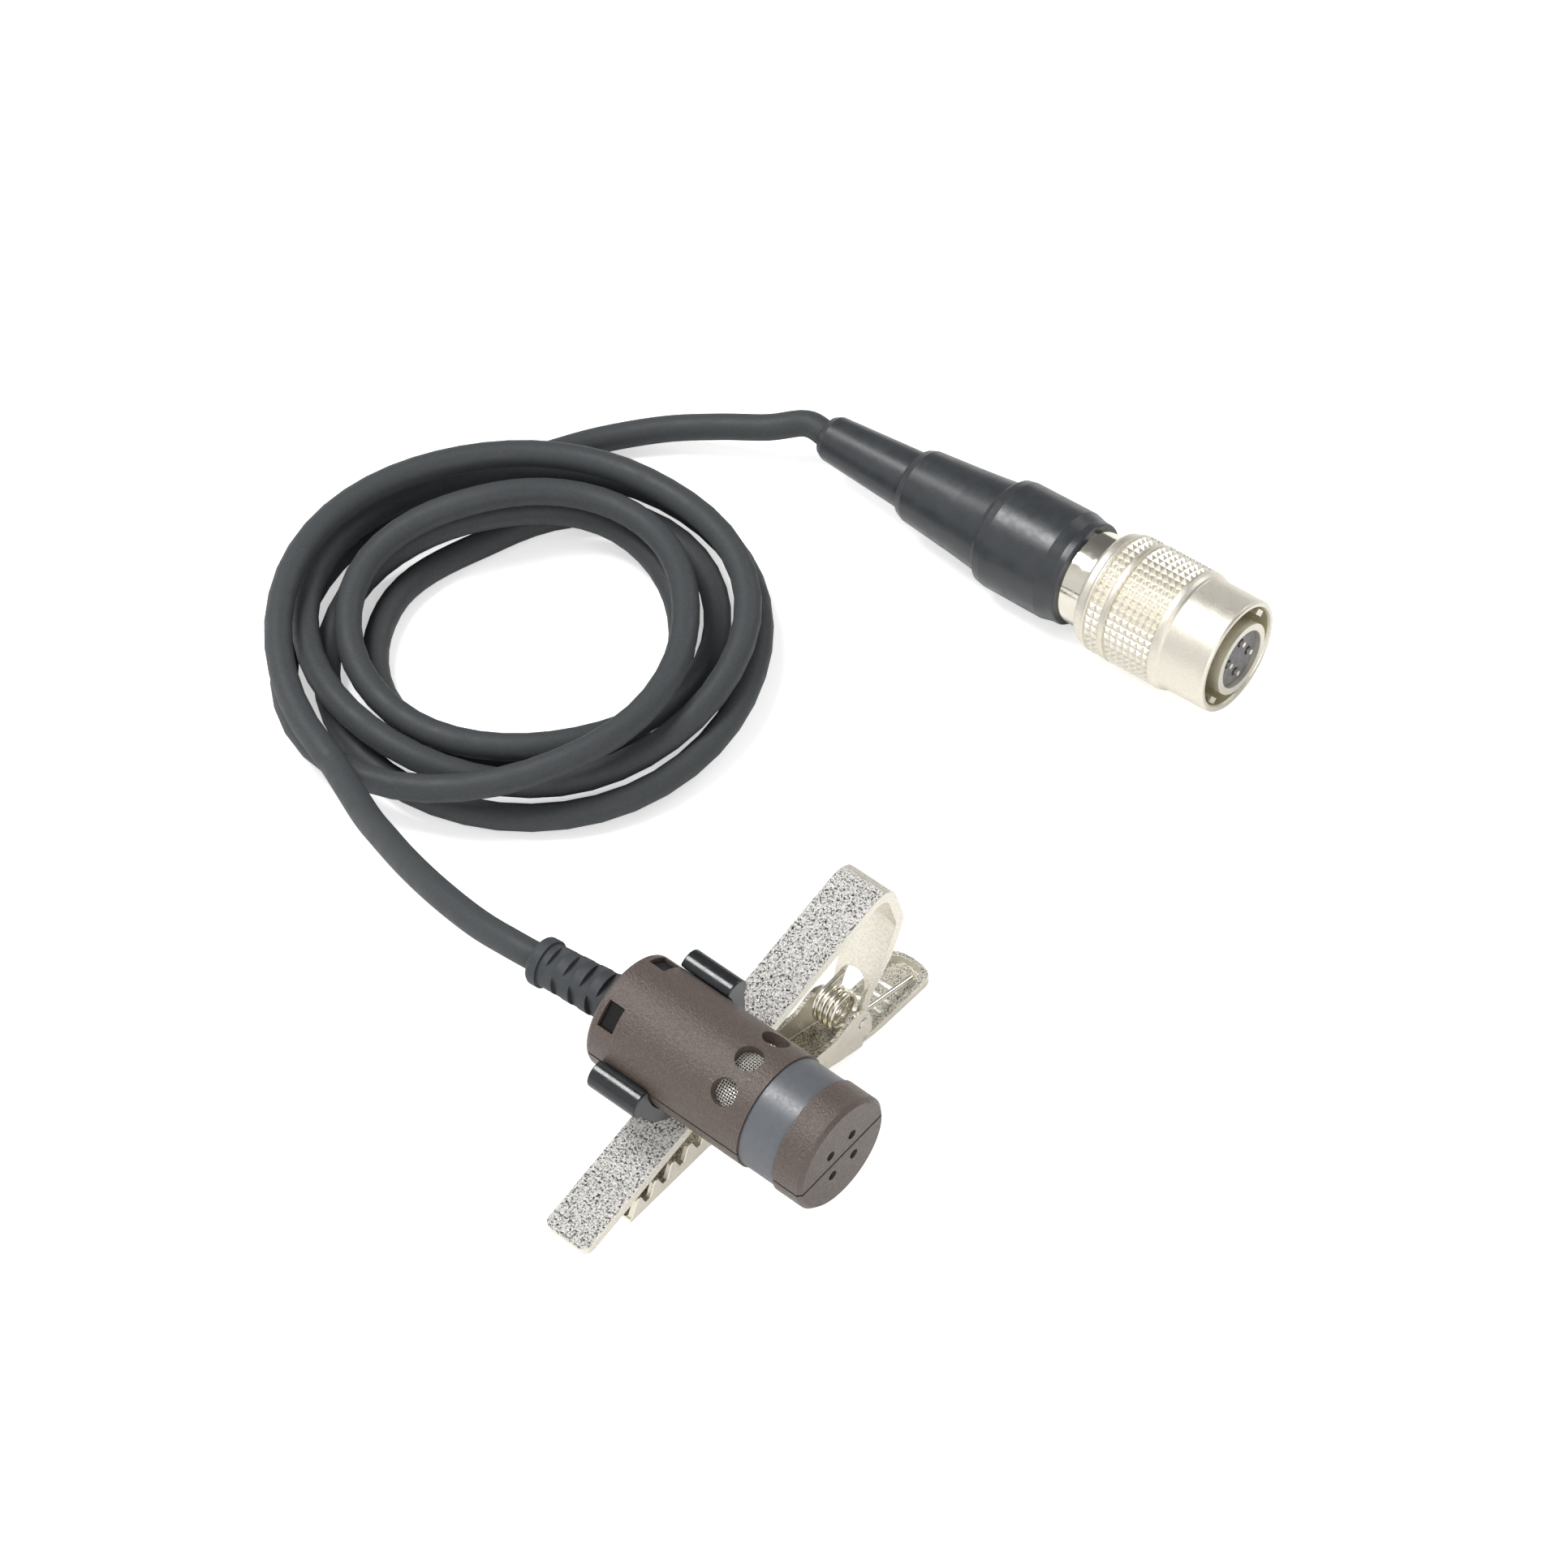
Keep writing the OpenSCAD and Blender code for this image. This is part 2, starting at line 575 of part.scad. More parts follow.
module mic_relief() {
  root_r = relief_d / 2;
  waist_r = root_r - 0.15;
  end_r = root_r - 0.25;
  seat_r = cavity_r - 2 * fit;
  color("#3c3f41") placed() difference() {
    union() {
      on_mic_axis() {
        turned() polygon([
          [0, -flange_x], [seat_r, -flange_x], [seat_r, -flange_x - flange_t], [neck_r, -flange_x - flange_t],
          [neck_r, -barrel_l - 0.1], [waist_r, -barrel_l - 0.1], [waist_r, -bend_x - bend_past],
          [0, -bend_x - bend_past]
        ]);
        for (a = [-window_angle, window_angle], side = [0, 180]) {
          rotate([a + side, 0, 0]) translate([-flange_x - flange_t + 0.05, -nub_w / 2, cavity_r - 1])
            cube([flange_t - 0.1, nub_w, barrel_r - cavity_r + 0.6]);
        }
      }
      on_tail() difference() {
        turned() polygon(concat(
          [[0, bend_past], [root_r, bend_past], [end_r, collar_w - tail_l], [root_r, collar_w - tail_l]],
          arc([root_r - 0.4, 0.4 - tail_l], 0.4, 0, -90, 4),
          [[0, -tail_l]]
        ));
        // Slots, turned by turns, each open to one side
        for (i = [0:3], turn = [0, 90, 180, 270]) {
          x = -slot_from - slot_w - slot_pitch * i - (turn % 180 == 0 ? 0 : slot_pitch / 2);
          if (x > collar_w + 0.4 - tail_l) {
            rotate([turn, 0, 0]) translate([x, -relief_d, cord_r + 0.3]) cube([slot_w, 2 * relief_d, relief_d]);
          }
        }
      }
    }
    on_mic_axis() bar(cord_hole_r, -bend_x - bend_past, over - flange_x);
    on_tail() bar(cord_hole_r + 0.04, -tail_l - over, bend_past);
  }
}

// Holder, rivet and top jaw
module clip_holder() {
  arm_r = cradle_r + holder_arm_t;
  color("#26292b") placed() in_clip() difference() {
    across(-holder_x - holder_l, holder_l) translate([0, axis_h]) difference() {
      union() {
        intersection() {
          circle(r = arm_r);
          translate([-2 * arm_r, -axis_h]) square([4 * arm_r, axis_h + rod_at[1]]);
        }
        for (side = [-1, 1]) {
          translate([side * rod_at[0], rod_at[1]]) circle(r = rod_r);
        }
      }
      circle(r = cradle_r);
      translate([mouth_in - cradle_r, 0]) square([2 * (cradle_r - mouth_in), arm_r]);
    }
    translate([rivet_x, 0, -over]) cylinder(r = rivet_r + fit, h = 2 * over);
    translate([rivet_x, 0, holder_base - 0.35]) cylinder(r = rivet_head_r + fit, h = over);
  }
}
module holder_rivet() {
  color("#b9bab8") placed() in_clip() translate([rivet_x, 0, 0]) {
    translate([0, 0, -sheet_t - 0.4]) cylinder(r = rivet_head_r, h = 0.4);
    translate([0, 0, -sheet_t - 0.2]) cylinder(r = rivet_r, h = sheet_t + holder_base);
    translate([0, 0, holder_base - 0.33]) cylinder(r = rivet_head_r, h = 0.25);
  }
}

// Directions along the leg of the top jaw, upward, and out of its outer face
leg_up = [cos(leg_angle), sin(leg_angle)];
leg_out = [sin(leg_angle), -cos(leg_angle)];
leg_foot = pivot_local + pivot_inset * leg_out - 0.4 * leg_up;
module clip_side() {
  polygon(concat(
    [[-jaw_front, -sheet_t], [-jaw_front, 0]],
    arc([fold_y, -fold_r], fold_r, 90, 0, 8),
    arc(bend_at, fold_r, 0, leg_angle - 90, 6),
    [leg_foot, leg_foot - sheet_t * leg_out],
    arc(bend_at, fold_r - sheet_t, leg_angle - 90, 0, 6),
    arc([fold_y, -fold_r], fold_r - sheet_t, 0, 90, 8)
  ));
  translate(pivot_local) circle(r = eye_r);
}
// Solid that the leg's taper and its arched cut-out are taken from, up the leg from the hinge
module on_leg() {
  translate([clip_mid_x, pivot_local[0], pivot_local[1]]) rotate([leg_angle - 90, 0, 0]) children();
}
module clip_top_jaw() {
  low = leg_low_w / 2;
  full = jaw_w / 2;
  color("#dcdad2") placed() in_clip() {
    difference() {
      across(clip_mid_x - full, jaw_w) clip_side();
      // Tip corners
      for (side = [-1, 1]) {
        translate([clip_mid_x + side * full, -jaw_front, -over - sheet_t]) difference() {
          cube([2 * corner_r, 2 * corner_r, 2 * (over + sheet_t) + over], center = true);
          translate([-side * corner_r, corner_r, 0]) cylinder(r = corner_r, h = barrel_d, center = true);
        }
      }
      translate([rivet_x, 0, -sheet_t - over]) cylinder(r = rivet_r + fit, h = sheet_t + 2 * over);
      on_leg() {
        for (side = [0, 1]) {
          mirror([side, 0, 0]) rotate([90, 0, 0]) linear_extrude(leg_cut_l, center = true)
            polygon([
              [low, -arch_h], [low, taper_from], [full, taper_to], [full + over, taper_to], [full + over, -arch_h]
            ]);
        }
        translate([-arch_w / 2, -leg_cut_l / 2, -arch_h]) cube([arch_w, leg_cut_l, 2 * arch_h - arch_w / 2]);
        translate([0, 0, arch_h - arch_w / 2]) rotate([90, 0, 0])
          cylinder(d = arch_w, h = leg_cut_l, center = true);
      }
    }
    for (side = [-1, 1]) {
      translate([clip_mid_x + (side > 0 ? low - 0.2 : -channel_w / 2 - 0.1), pivot_local[0], pivot_local[1]])
        bar(stub_r, 0, channel_w / 2 + 0.1 - low + 0.2);
    }
  }
}

// Lower jaw: a channel that becomes the thumb pad
function tooth(i) =
  let (y = tooth_first_y + tooth_pitch * i, z = tooth_first_z + tooth_slope * tooth_pitch * i)
  [
    [y + tooth_pitch * 0.62, z + 0.2 - tooth_h], [y + tooth_pitch * 0.38, z + 0.1 - tooth_h],
    [y + 0.25, z - 0.1], [y, z], [y - 0.3, z - 0.15]
  ];
module channel_wall() {
  polygon(concat(
    jaw_under, [pad_under[0]], ear_top, [[teeth_end_y + 0.1, tooth_first_z + 0.35]],
    [for (i = [tooth_count - 1:-1:0]) each tooth(i)],
    jaw_tip
  ));
}
module channel_floor() {
  under = concat(jaw_under, pad_under);
  polygon(concat(
    under,
    [for (i = [len(under) - 1:-1:0]) under[i] + [0, channel_t * 1.05]]
  ));
}
// Plan of the thumb pad about its middle, as [x, y] points from one side to the end
pad_half = channel_w / 2 - pad_inset;
pad_side = [
  [pad_half, pad_from_y], [pad_half, pad_end_y - 1], [pad_half - 0.12, pad_end_y - 0.6],
  [pad_half - 0.5, pad_end_y - 0.28], [pad_half - 1.1, pad_end_y - 0.1], [0, pad_end_y]
];
// The same plan drawn in by t
function pad_plan(t) =
  let (side = [for (p = pad_side) [p[0] * (pad_half - t) / pad_half, p[1] - t]])
  concat(side, [for (i = [len(side) - 2:-1:0]) [-side[i][0], side[i][1]]]);
module pad_ring(from_y, top) {
  translate([clip_mid_x, 0, 0]) linear_extrude(top) intersection() {
    difference() {
      polygon(pad_plan(0));
      polygon(pad_plan(channel_t));
    }
    translate([-channel_w, from_y]) square([2 * channel_w, pad_end_y]);
  }
}
module clip_lower_jaw() {
  near = clip_mid_x + channel_w / 2;
  far = clip_mid_x - channel_w / 2;
  wide = channel_w / 2 + over;
  color("#dcdad2") placed() difference() {
    union() {
      across(near - channel_t, channel_t) channel_wall();
      across(far, channel_t) channel_wall();
      across(far, channel_w) channel_floor();
      for (i = [0:rib_count - 1]) {
        translate([far + channel_t, rib_from_y + i * rib_pitch, rib_z])
          cube([channel_w - 2 * channel_t, rib_w, rib_w]);
      }
      pad_ring(pad_from_y, rim_z);
      pad_ring(lip_from_y, lip_z);
    }
    translate([far - over, pivot_at[0], pivot_at[1]]) bar(stub_r + stub_gap, 0, channel_w + 2 * over);
    // Outside of the pad's plan, and under its floor
    for (side = [0, 1]) {
      translate([clip_mid_x, 0, -over]) mirror([side, 0, 0]) linear_extrude(over + 1.6) polygon(concat(
        [[wide, pad_from_y - 0.4], [channel_w / 2, pad_from_y - 0.4]],
        pad_side,
        [[0, pad_end_y + over], [wide, pad_end_y + over]]
      ));
    }
    across(far - over, channel_w + 2 * over) polygon(concat(
      [jaw_under[len(jaw_under) - 1]], pad_under, [[pad_end_y, -over], [jaw_under[len(jaw_under) - 1][0], -over]]
    ));
  }
}
module clip_spring() color("#cfcdc6") placed() swept(spring_path, spring_wire / 2, 6, [1, 0, 0]);

// Cord
module cable_mic_side() color("#3e4245") placed() swept(mic_path, cord_r, cord_sides);
module cable_coil() color("#3e4245") placed() swept(coil_path, cord_r, coil_sides);
module cable_plug_side() color("#3e4245") placed() swept(plug_path, cord_r, cord_sides);

// Plug
module plug_boot() {
  color("#2f3234") placed() in_plug() turned() polygon(concat(
    [[shell_tail_r + fit, -boot_x]],
    boot_side,
    [
      [cord_hole_r, -boot_end], [cord_hole_r, -shell_end - 0.05], [shell_tail_r + fit, -shell_end - 0.05]
    ]
  ));
}
module back_shell() {
  bore = plug_barrel_r + slide_gap;
  color("#d8d7d3") placed() in_plug() turned() polygon([
    [bore, -collar_x], [collar_r, -collar_x], [collar_r, -collar_end], [neck_shell_r, -collar_end],
    [neck_shell_r, fit - boot_x], [shell_tail_r, fit - boot_x], [shell_tail_r, -shell_end],
    [cord_hole_r, -shell_end], [cord_hole_r, -clamp_x - clamp_l - fit], [bore, -clamp_x - clamp_l - fit]
  ]);
}
module cable_clamp() {
  color("#a9a9a6") placed() in_plug() difference() {
    tube(plug_barrel_r, cord_hole_r, -clamp_x - clamp_l, -clamp_x);
    translate([-clamp_x - clamp_l - over, 0, -0.25]) cube([clamp_l + 2 * over, barrel_d, 0.5]);
  }
}
module cable_tail() color("#3e4245") placed() in_plug() bar(cord_r, -boot_end, -tail_x);
module at_pins(pitch) {
  for (y = [-pitch / 2, pitch / 2], z = [-pitch / 2, pitch / 2]) {
    rotate([pin_turn, 0, 0]) translate([0, y, z]) children();
  }
}
module plug_wires() color("#b8452f") placed() in_plug() at_pins(1.4) bar(0.25, fit - tail_x, -pin_end - fit);
module plug_barrel() {
  end = -clamp_x + 2;
  color("#d8d7d3") placed() in_plug() tube(plug_barrel_r, plug_bore_d / 2, end, barrel_out);
}
module plug_insulator() {
  back = -insulator_x - insulator_l;
  color("#3a3a3d") placed() in_plug() difference() {
    bar(plug_bore_d / 2 - fit, back, -insulator_x);
    at_pins(pin_pitch) bar(pin_d / 2 + fit, back - over, over);
    at_pins(pin_pitch) bar(pin_d / 2 + 0.2, -insulator_x - 0.3, over);
  }
}
module contact_pins() {
  color("#e6e2d6") placed() in_plug() at_pins(pin_pitch) bar(pin_d / 2, -pin_end, pin_out);
}
module lock_claws() {
  base = plug_barrel_r + slide_gap;
  outer = sleeve_bore_r - 0.15;
  color("#d8d7d3") placed() in_plug() rotate([claw_turn, 0, 0]) {
    tube(outer, base, 0.1 - land_x, 0.6 - land_x);
    intersection() {
      turned() polygon([
        [claw_r, 0.3 - land_x], [outer, 0.3 - land_x], [outer - 0.3, 1 - land_x], [outer - 0.3, -0.5],
        [outer, -0.35], [outer, -0.2], [claw_r, -0.2]
      ]);
      translate([-land_x, -0.6, -barrel_d]) cube([land_x, 1.2, 2 * barrel_d]);
    }
  }
}
module coupling_sleeve() {
  land_r = plug_barrel_r + slide_gap;
  color("#d2d0c8") placed() in_plug() turned() polygon(concat(
    [[sleeve_bore_r, 0], [sleeve_r - 0.15, 0], [sleeve_r, -0.15]],
    sleeve_side,
    [
      [neck_shell_r + 0.15, -sleeve_l], [neck_shell_r + slide_gap, -sleeve_l],
      [neck_shell_r + slide_gap, -collar_end - 0.1], [sleeve_bore_r + 0.1, -collar_end - 0.1],
      [sleeve_bore_r + 0.1, -land_end], [land_r, -land_end], [land_r, -land_x], [sleeve_bore_r, -land_x]
    ]
  ));
}
module sleeve_spring() {
  color("#cfcdc6") placed() in_plug() swept(sleeve_spring_path, sleeve_wire / 2, 6, [1, 0, 0]);
}

upper_shell();
lower_shell();
id_band();
front_mesh();
port_mesh();
capsule_can();
diaphragm();
spacer_ring();
back_plate();
capsule_insulator();
capsule_board();
capsule_gasket();
lead_wires();
cable_ferrule();
cable_entry();
mic_relief();
clip_holder();
holder_rivet();
clip_top_jaw();
clip_lower_jaw();
clip_spring();
cable_mic_side();
cable_coil();
cable_plug_side();
plug_boot();
back_shell();
cable_clamp();
cable_tail();
plug_wires();
plug_barrel();
plug_insulator();
contact_pins();
lock_claws();
coupling_sleeve();
sleeve_spring();
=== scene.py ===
"""Lavalier microphone with a hinged clip, a coiled cord and a locking plug."""

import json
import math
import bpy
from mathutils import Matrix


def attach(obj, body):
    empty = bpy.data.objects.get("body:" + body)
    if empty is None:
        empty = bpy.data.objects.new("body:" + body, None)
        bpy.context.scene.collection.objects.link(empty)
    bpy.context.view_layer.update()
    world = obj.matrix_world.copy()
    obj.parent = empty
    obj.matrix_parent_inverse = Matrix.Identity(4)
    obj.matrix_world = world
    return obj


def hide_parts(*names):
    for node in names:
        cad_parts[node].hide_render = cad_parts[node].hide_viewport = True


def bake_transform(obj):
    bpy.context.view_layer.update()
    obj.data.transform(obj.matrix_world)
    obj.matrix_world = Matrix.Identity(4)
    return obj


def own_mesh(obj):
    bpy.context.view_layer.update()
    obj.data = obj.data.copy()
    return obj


bl_info = {
    "name": "Lavalier Microphone",
    "version": (1, 0, 0),
    "blender": (4, 5, 0),
    "location": "3D View > Sidebar > Lavalier",
    "description": "Detailed pieces and finishes of a lavalier microphone",
    "category": "Object",
}

import bmesh
import bpy
from mathutils import Matrix, Vector

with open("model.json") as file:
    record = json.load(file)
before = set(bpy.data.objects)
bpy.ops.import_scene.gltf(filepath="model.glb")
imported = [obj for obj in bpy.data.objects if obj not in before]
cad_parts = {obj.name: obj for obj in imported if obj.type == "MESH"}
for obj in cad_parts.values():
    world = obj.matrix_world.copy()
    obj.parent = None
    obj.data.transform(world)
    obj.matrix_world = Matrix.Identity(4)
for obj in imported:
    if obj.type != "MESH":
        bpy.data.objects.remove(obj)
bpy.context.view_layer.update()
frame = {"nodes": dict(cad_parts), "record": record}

MM = 0.001


# Places, in the part's own millimetres and in degrees

# Moves the part's own origin, at the microphone's face, to the frame's
SHIFT = Vector((15.95, -7.0742, 0.0))


def placed(at, turned=Matrix.Identity(4)):
    """Matrix that takes millimetres at a place on the part to metres in the frame."""
    return Matrix.Scale(MM, 4) @ Matrix.Translation(SHIFT + Vector(at)) @ turned


def turn(degrees, axis):
    return Matrix.Rotation(math.radians(degrees), 4, axis)


def heading(place, x):
    """Direction of a place's own X axis, forward where x is 1 and backward where it is -1."""
    return (place.to_3x3() @ Vector((x, 0, 0))).normalized()


MIC_Y, MIC_Z, MIC_ROLL = -0.3011, 17.9773, 5
RELIEF_X, RELIEF_SWING, RELIEF_DROOP = -23.4, 3.6, 3.8
PLUG_AT, PLUG_TILT = (-14.27, 70.68, 6.24), 2
CLIP_MID = -16.75

PART = placed((0, 0, 0))
MIC = placed((0, MIC_Y, MIC_Z), turn(MIC_ROLL, "X"))
RELIEF = placed(
    (RELIEF_X, MIC_Y, MIC_Z), turn(RELIEF_SWING, "Z") @ turn(-RELIEF_DROOP, "Y") @ turn(MIC_ROLL, "X"),
)
PLUG = placed(PLUG_AT, turn(PLUG_TILT, "Z") @ turn(-PLUG_TILT, "Y"))


# Sizes and colours

def size_mm(name, default, text, **limits):
    return bpy.props.FloatProperty(
        name=name, description=text, default=default * MM, precision=3, unit="LENGTH", **limits,
    )


def number(name, default, text, fewest, most):
    return bpy.props.IntProperty(name=name, description=text, default=default, min=fewest, max=most)


def colour(name, red, green, blue, text):
    return bpy.props.FloatVectorProperty(
        name=name, description=text, size=3, min=0, max=1, subtype="COLOR_GAMMA",
        default=(red / 255, green / 255, blue / 255),
    )


class LavalierColours(bpy.types.PropertyGroup):
    """Colours of the finishes"""

    barrel: colour("Barrel", 86, 73, 66, "Grained plastic of the microphone's barrel")
    band: colour("Band", 93, 96, 101, "Identification band")
    steel: colour("Steel", 200, 198, 190, "Sheet metal of the capsule and of the cable clamp")
    relief: colour("Strain relief", 62, 65, 68, "Rubber of the strain relief and of the gasket")
    cord: colour("Cord", 66, 69, 71, "Jacket of the cord")
    holder: colour("Holder", 34, 37, 39, "Glossy plastic of the clip holder")
    nickel: colour("Nickel", 232, 227, 214, "Plating of the clip, the springs and the plug")
    bore: colour("Bore", 224, 216, 182, "Turned inside of the coupling sleeve")
    boot: colour("Boot", 52, 55, 58, "Rubber of the plug's boot")
    insulator: colour("Insulator", 112, 110, 112, "Plastic that holds the contacts and the capsule")
    gold: colour("Gold", 201, 165, 69, "Plating of the crimp ferrule")
    floor: colour("Floor", 252, 252, 251, "Floor under the object")


class LavalierCord(bpy.types.PropertyGroup):
    """Sizes of the cord"""

    diameter: size_mm("Diameter", 2.5, "Outside diameter of the jacket", min=2 * MM, max=2.5 * MM)
    turns: bpy.props.FloatProperty(
        name="Turns", description="Turns of the coil", default=5.375, precision=3, min=5.3, max=5.4,
    )
    sides: number("Sides", 20, "Faces round the jacket", 8, 48)


class LavalierPlug(bpy.types.PropertyGroup):
    """Sizes of the plug's gripping bands"""

    around: number("Points around", 50, "Points round a band", 12, 80)
    front: number("Front columns", 7, "Columns of points on the front band", 1, 7)
    rear: number("Rear columns", 2, "Columns of points on the rear band", 1, 2)
    pitch: size_mm("Pitch", 0.7, "Distance between columns")
    height: size_mm("Height", 0.3, "Height of each point")


class LavalierMesh(bpy.types.PropertyGroup):
    """Sizes of the woven mesh behind the ports"""

    around: number("Wires along", 112, "Wires along the barrel", 24, 200)
    rings: number("Wires round", 12, "Wires round the barrel", 3, 24)
    length: size_mm("Length", 2.66, "Width of the mesh along the barrel")
    wire: size_mm("Wire", 0.09, "Diameter of a wire")


class LavalierClip(bpy.types.PropertyGroup):
    """Sizes of the clip's spring, of the ribs on its thumb pad and of its edges"""

    wire: size_mm("Wire", 0.5, "Wire of the spring")
    curls: number("Curls", 4, "Curls of the spring", 2, 4)
    ribs: number("Ribs", 4, "Ribs on the thumb pad", 1, 4)
    edge: size_mm("Edge", 0.1, "Rounding of the sheet's edges")


# Node trees

class Nodes:
    """Node tree whose nodes are added together with what they are fed."""

    def __init__(self, tree):
        self.nodes, self.links = tree.nodes, tree.links

    def feed(self, socket, value):
        """Links another node's output to a socket, or gives it a plain value."""
        if isinstance(value, bpy.types.NodeSocket):
            self.links.new(value, socket)
        else:
            socket.default_value = value

    def add(self, kind, inputs=None, **settings):
        """Adds a node; inputs says what its sockets are fed, by name or by number."""
        node = self.nodes.new(kind)
        for name, value in settings.items():
            setattr(node, name, value)
        for key, value in (inputs or {}).items():
            self.feed(node.inputs[key], value)
        return node

    def math(self, operation, a, b=0.5):
        """Result of an operation; one that takes a single number leaves b unused."""
        return self.add("ShaderNodeMath", {0: a, 1: b}, operation=operation).outputs[0]

    def dot(self, a, b):
        """How far two directions agree."""
        return self.add("ShaderNodeVectorMath", {0: a, 1: b}, operation="DOT_PRODUCT").outputs["Value"]

    def spread(self, value, low, high, start=0.3, end=0.7):
        """Takes the values from start to end to the range low to high."""
        return self.add("ShaderNodeMapRange", {
            "Value": value, "From Min": start, "From Max": end, "To Min": low, "To Max": high,
        }).outputs["Result"]


# Finishes

def linear(rgb, lighter=1.0):
    """Colour as a shader takes it, from display values, made lighter or darker by a factor."""
    light = [c / 12.92 if c < 0.04045 else ((c + 0.055) / 1.055) ** 2.4 for c in rgb]
    return (*(min(1.0, c * lighter) for c in light), 1.0)


def tones(rgb, *stops):
    """Colour stops of one colour, from (position, lighter) pairs."""
    return [(position, linear(rgb, lighter)) for position, lighter in stops]


def two_tone(rgb, by):
    """Stops that are a little darker and a little lighter than a colour."""
    return tones(rgb, (0.3, 1 - by), (0.7, 1 + by))


class Finish(Nodes):
    """Node material whose colour, roughness and relief vary over the surface."""

    def __init__(self, name, metal=0.0, specular=0.5):
        self.name = name
        self.material = bpy.data.materials.new(name)
        self.material.use_nodes = True
        super().__init__(self.material.node_tree)
        self.shader = self.nodes["Principled BSDF"]
        self.shader.inputs["Metallic"].default_value = metal
        self.shader.inputs["Specular IOR Level"].default_value = specular
        self.place = self.add("ShaderNodeTexCoord").outputs["Object"]

    def noise(self, size, detail=2.0, rough=0.5):
        """Noise whose lumps are about so many millimetres across."""
        return self.add("ShaderNodeTexNoise", {
            "Vector": self.place, "Scale": 1 / (size * MM), "Detail": detail, "Roughness": rough,
        }).outputs["Fac"]

    def facing(self, direction, start, end):
        """1 where the surface faces the direction, 0 where it is turned away."""
        normal = self.add("ShaderNodeTexCoord").outputs["Normal"]
        return self.spread(self.dot(normal, Vector(direction).normalized()), 0, 1, start, end)

    def along(self, direction, start, end):
        """0 before start and 1 after end, in millimetres along the direction."""
        return self.spread(self.dot(self.place, Vector(direction)), 0, 1, start * MM, end * MM)

    def colours(self, value, *stops):
        """Base colour from (position, colour) stops."""
        node = self.add("ShaderNodeValToRGB", {"Fac": value})
        ramp = node.color_ramp.elements
        while len(ramp) < len(stops):
            ramp.new(0.5)
        for element, (position, rgba) in zip(ramp, stops):
            element.position = position
            element.color = rgba
        self.links.new(node.outputs["Color"], self.shader.inputs["Base Color"])

    def tint(self, factor, rgba):
        """Colour that takes the base colour's place where factor is 1."""
        base = self.shader.inputs["Base Color"]
        inputs = {"Factor": factor, "A": base.links[0].from_socket, "B": rgba}
        node = self.add("ShaderNodeMix", inputs, data_type="RGBA")
        self.links.new(node.outputs["Result"], base)
        return self

    def roughness(self, value, low, high):
        self.links.new(self.spread(value, low, high), self.shader.inputs["Roughness"])

    def relief(self, value, height, strength=1.0):
        """Bumps up to so many millimetres high; strength is a number or a mask."""
        node = self.add("ShaderNodeBump", {"Height": value, "Distance": height * MM, "Strength": strength})
        self.links.new(node.outputs["Normal"], self.shader.inputs["Normal"])
        return self


# Display colours that have no setting of their own
BRIGHT_WIRE = (0.97, 0.96, 0.93)
BOARD_GREEN = (0.12, 0.32, 0.2)
LEAD_RED = (0.7, 0.25, 0.18)
# Painted shade of the strain relief inside the barrel's windows
PAINTED_WINDOW_SHADE = (0.03, 0.03, 0.028)
CUT_PLASTIC = (0.3, 0.31, 0.315)
# Whitish ground of the frost, which is also the colour of its painted glints
FROST_GLINT_WHITE = (0.97, 0.96, 0.945)
# Painted shade on the floor of the lower jaw's channel
PAINTED_CHANNEL_SHADE = (0.36, 0.33, 0.26)

# Where a finish changes, in the frame's millimetres, and the way that two faces of the clip look
WINDOW_X = (-6.8, -6.4)
CHANNEL_END_Y = (11.5, 13)
PAD_START_Y = (13.7, 14.2)
TOP_JAW_UP = (0, -0.289, 0.957)
CHANNEL_UP = (0, 0.2, 0.98)


def barrel_plastic(c):
    f = Finish("barrel_plastic", specular=0.65)
    grain = f.noise(0.13, 3, rough=0.65)
    f.colours(grain, *tones(c.barrel, (0.3, 0.55), (0.5, 0.92), (0.6, 1.12), (0.7, 1.7)))
    f.roughness(f.noise(0.35), 0.28, 0.42)
    return f.relief(f.noise(0.22, 3, rough=0.65), height=0.1)


def moulded(name, rgb, rough, grain, height, tone=0.08, specular=0.5):
    """Moulded plastic or rubber; its grain's size and height are in millimetres."""
    f = Finish(name, specular=specular)
    f.colours(f.noise(grain * 6, 4), *two_tone(rgb, tone))
    f.roughness(f.noise(grain * 3), rough - 0.06, rough + 0.06)
    return f.relief(f.noise(grain), height, strength=0.5)


def plated(name, rgb, rough, grain, height, tone=0.05, strength=0.5):
    """Nickel or other plating over a blasted or brushed ground."""
    f = Finish(name, metal=1.0)
    f.colours(f.noise(grain * 8, 4), *two_tone(rgb, tone))
    f.roughness(f.noise(grain * 2), rough - 0.07, rough + 0.07)
    return f.relief(f.noise(grain, 3), height, strength)


def mesh_steel():
    """Bright wire, whose plating scatters part of the light."""
    f = Finish("mesh_steel", metal=0.5, specular=0.8)
    f.colours(f.noise(0.3, 2), *two_tone(BRIGHT_WIRE, 0.03))
    f.roughness(f.noise(0.2), 0.2, 0.34)
    return f.relief(f.noise(0.05), height=0.003, strength=0.4)


def cord_jacket(c):
    f = Finish("cord_jacket", specular=0.3)
    mottle = f.noise(0.28, 4, rough=0.6)
    f.colours(mottle, *tones(c.cord, (0.3, 0.88), (0.68, 1.06), (0.75, 1.25), (0.8, 1.7)))
    f.roughness(f.noise(1.5), 0.5, 0.62)
    return f.relief(f.noise(0.12), height=0.012, strength=0.5)


def relief_rubber(c):
    """Dull rubber, with painted shade, near black, where it fills the barrel's windows."""
    f = moulded("relief_rubber", c.relief, rough=0.6, grain=0.15, height=0.02, tone=0.14, specular=0.35)
    # Painted shade: the rubber inside the barrel's windows is tinted near black.
    return f.tint(f.along((1, 0, 0), *WINDOW_X), linear(PAINTED_WINDOW_SHADE))


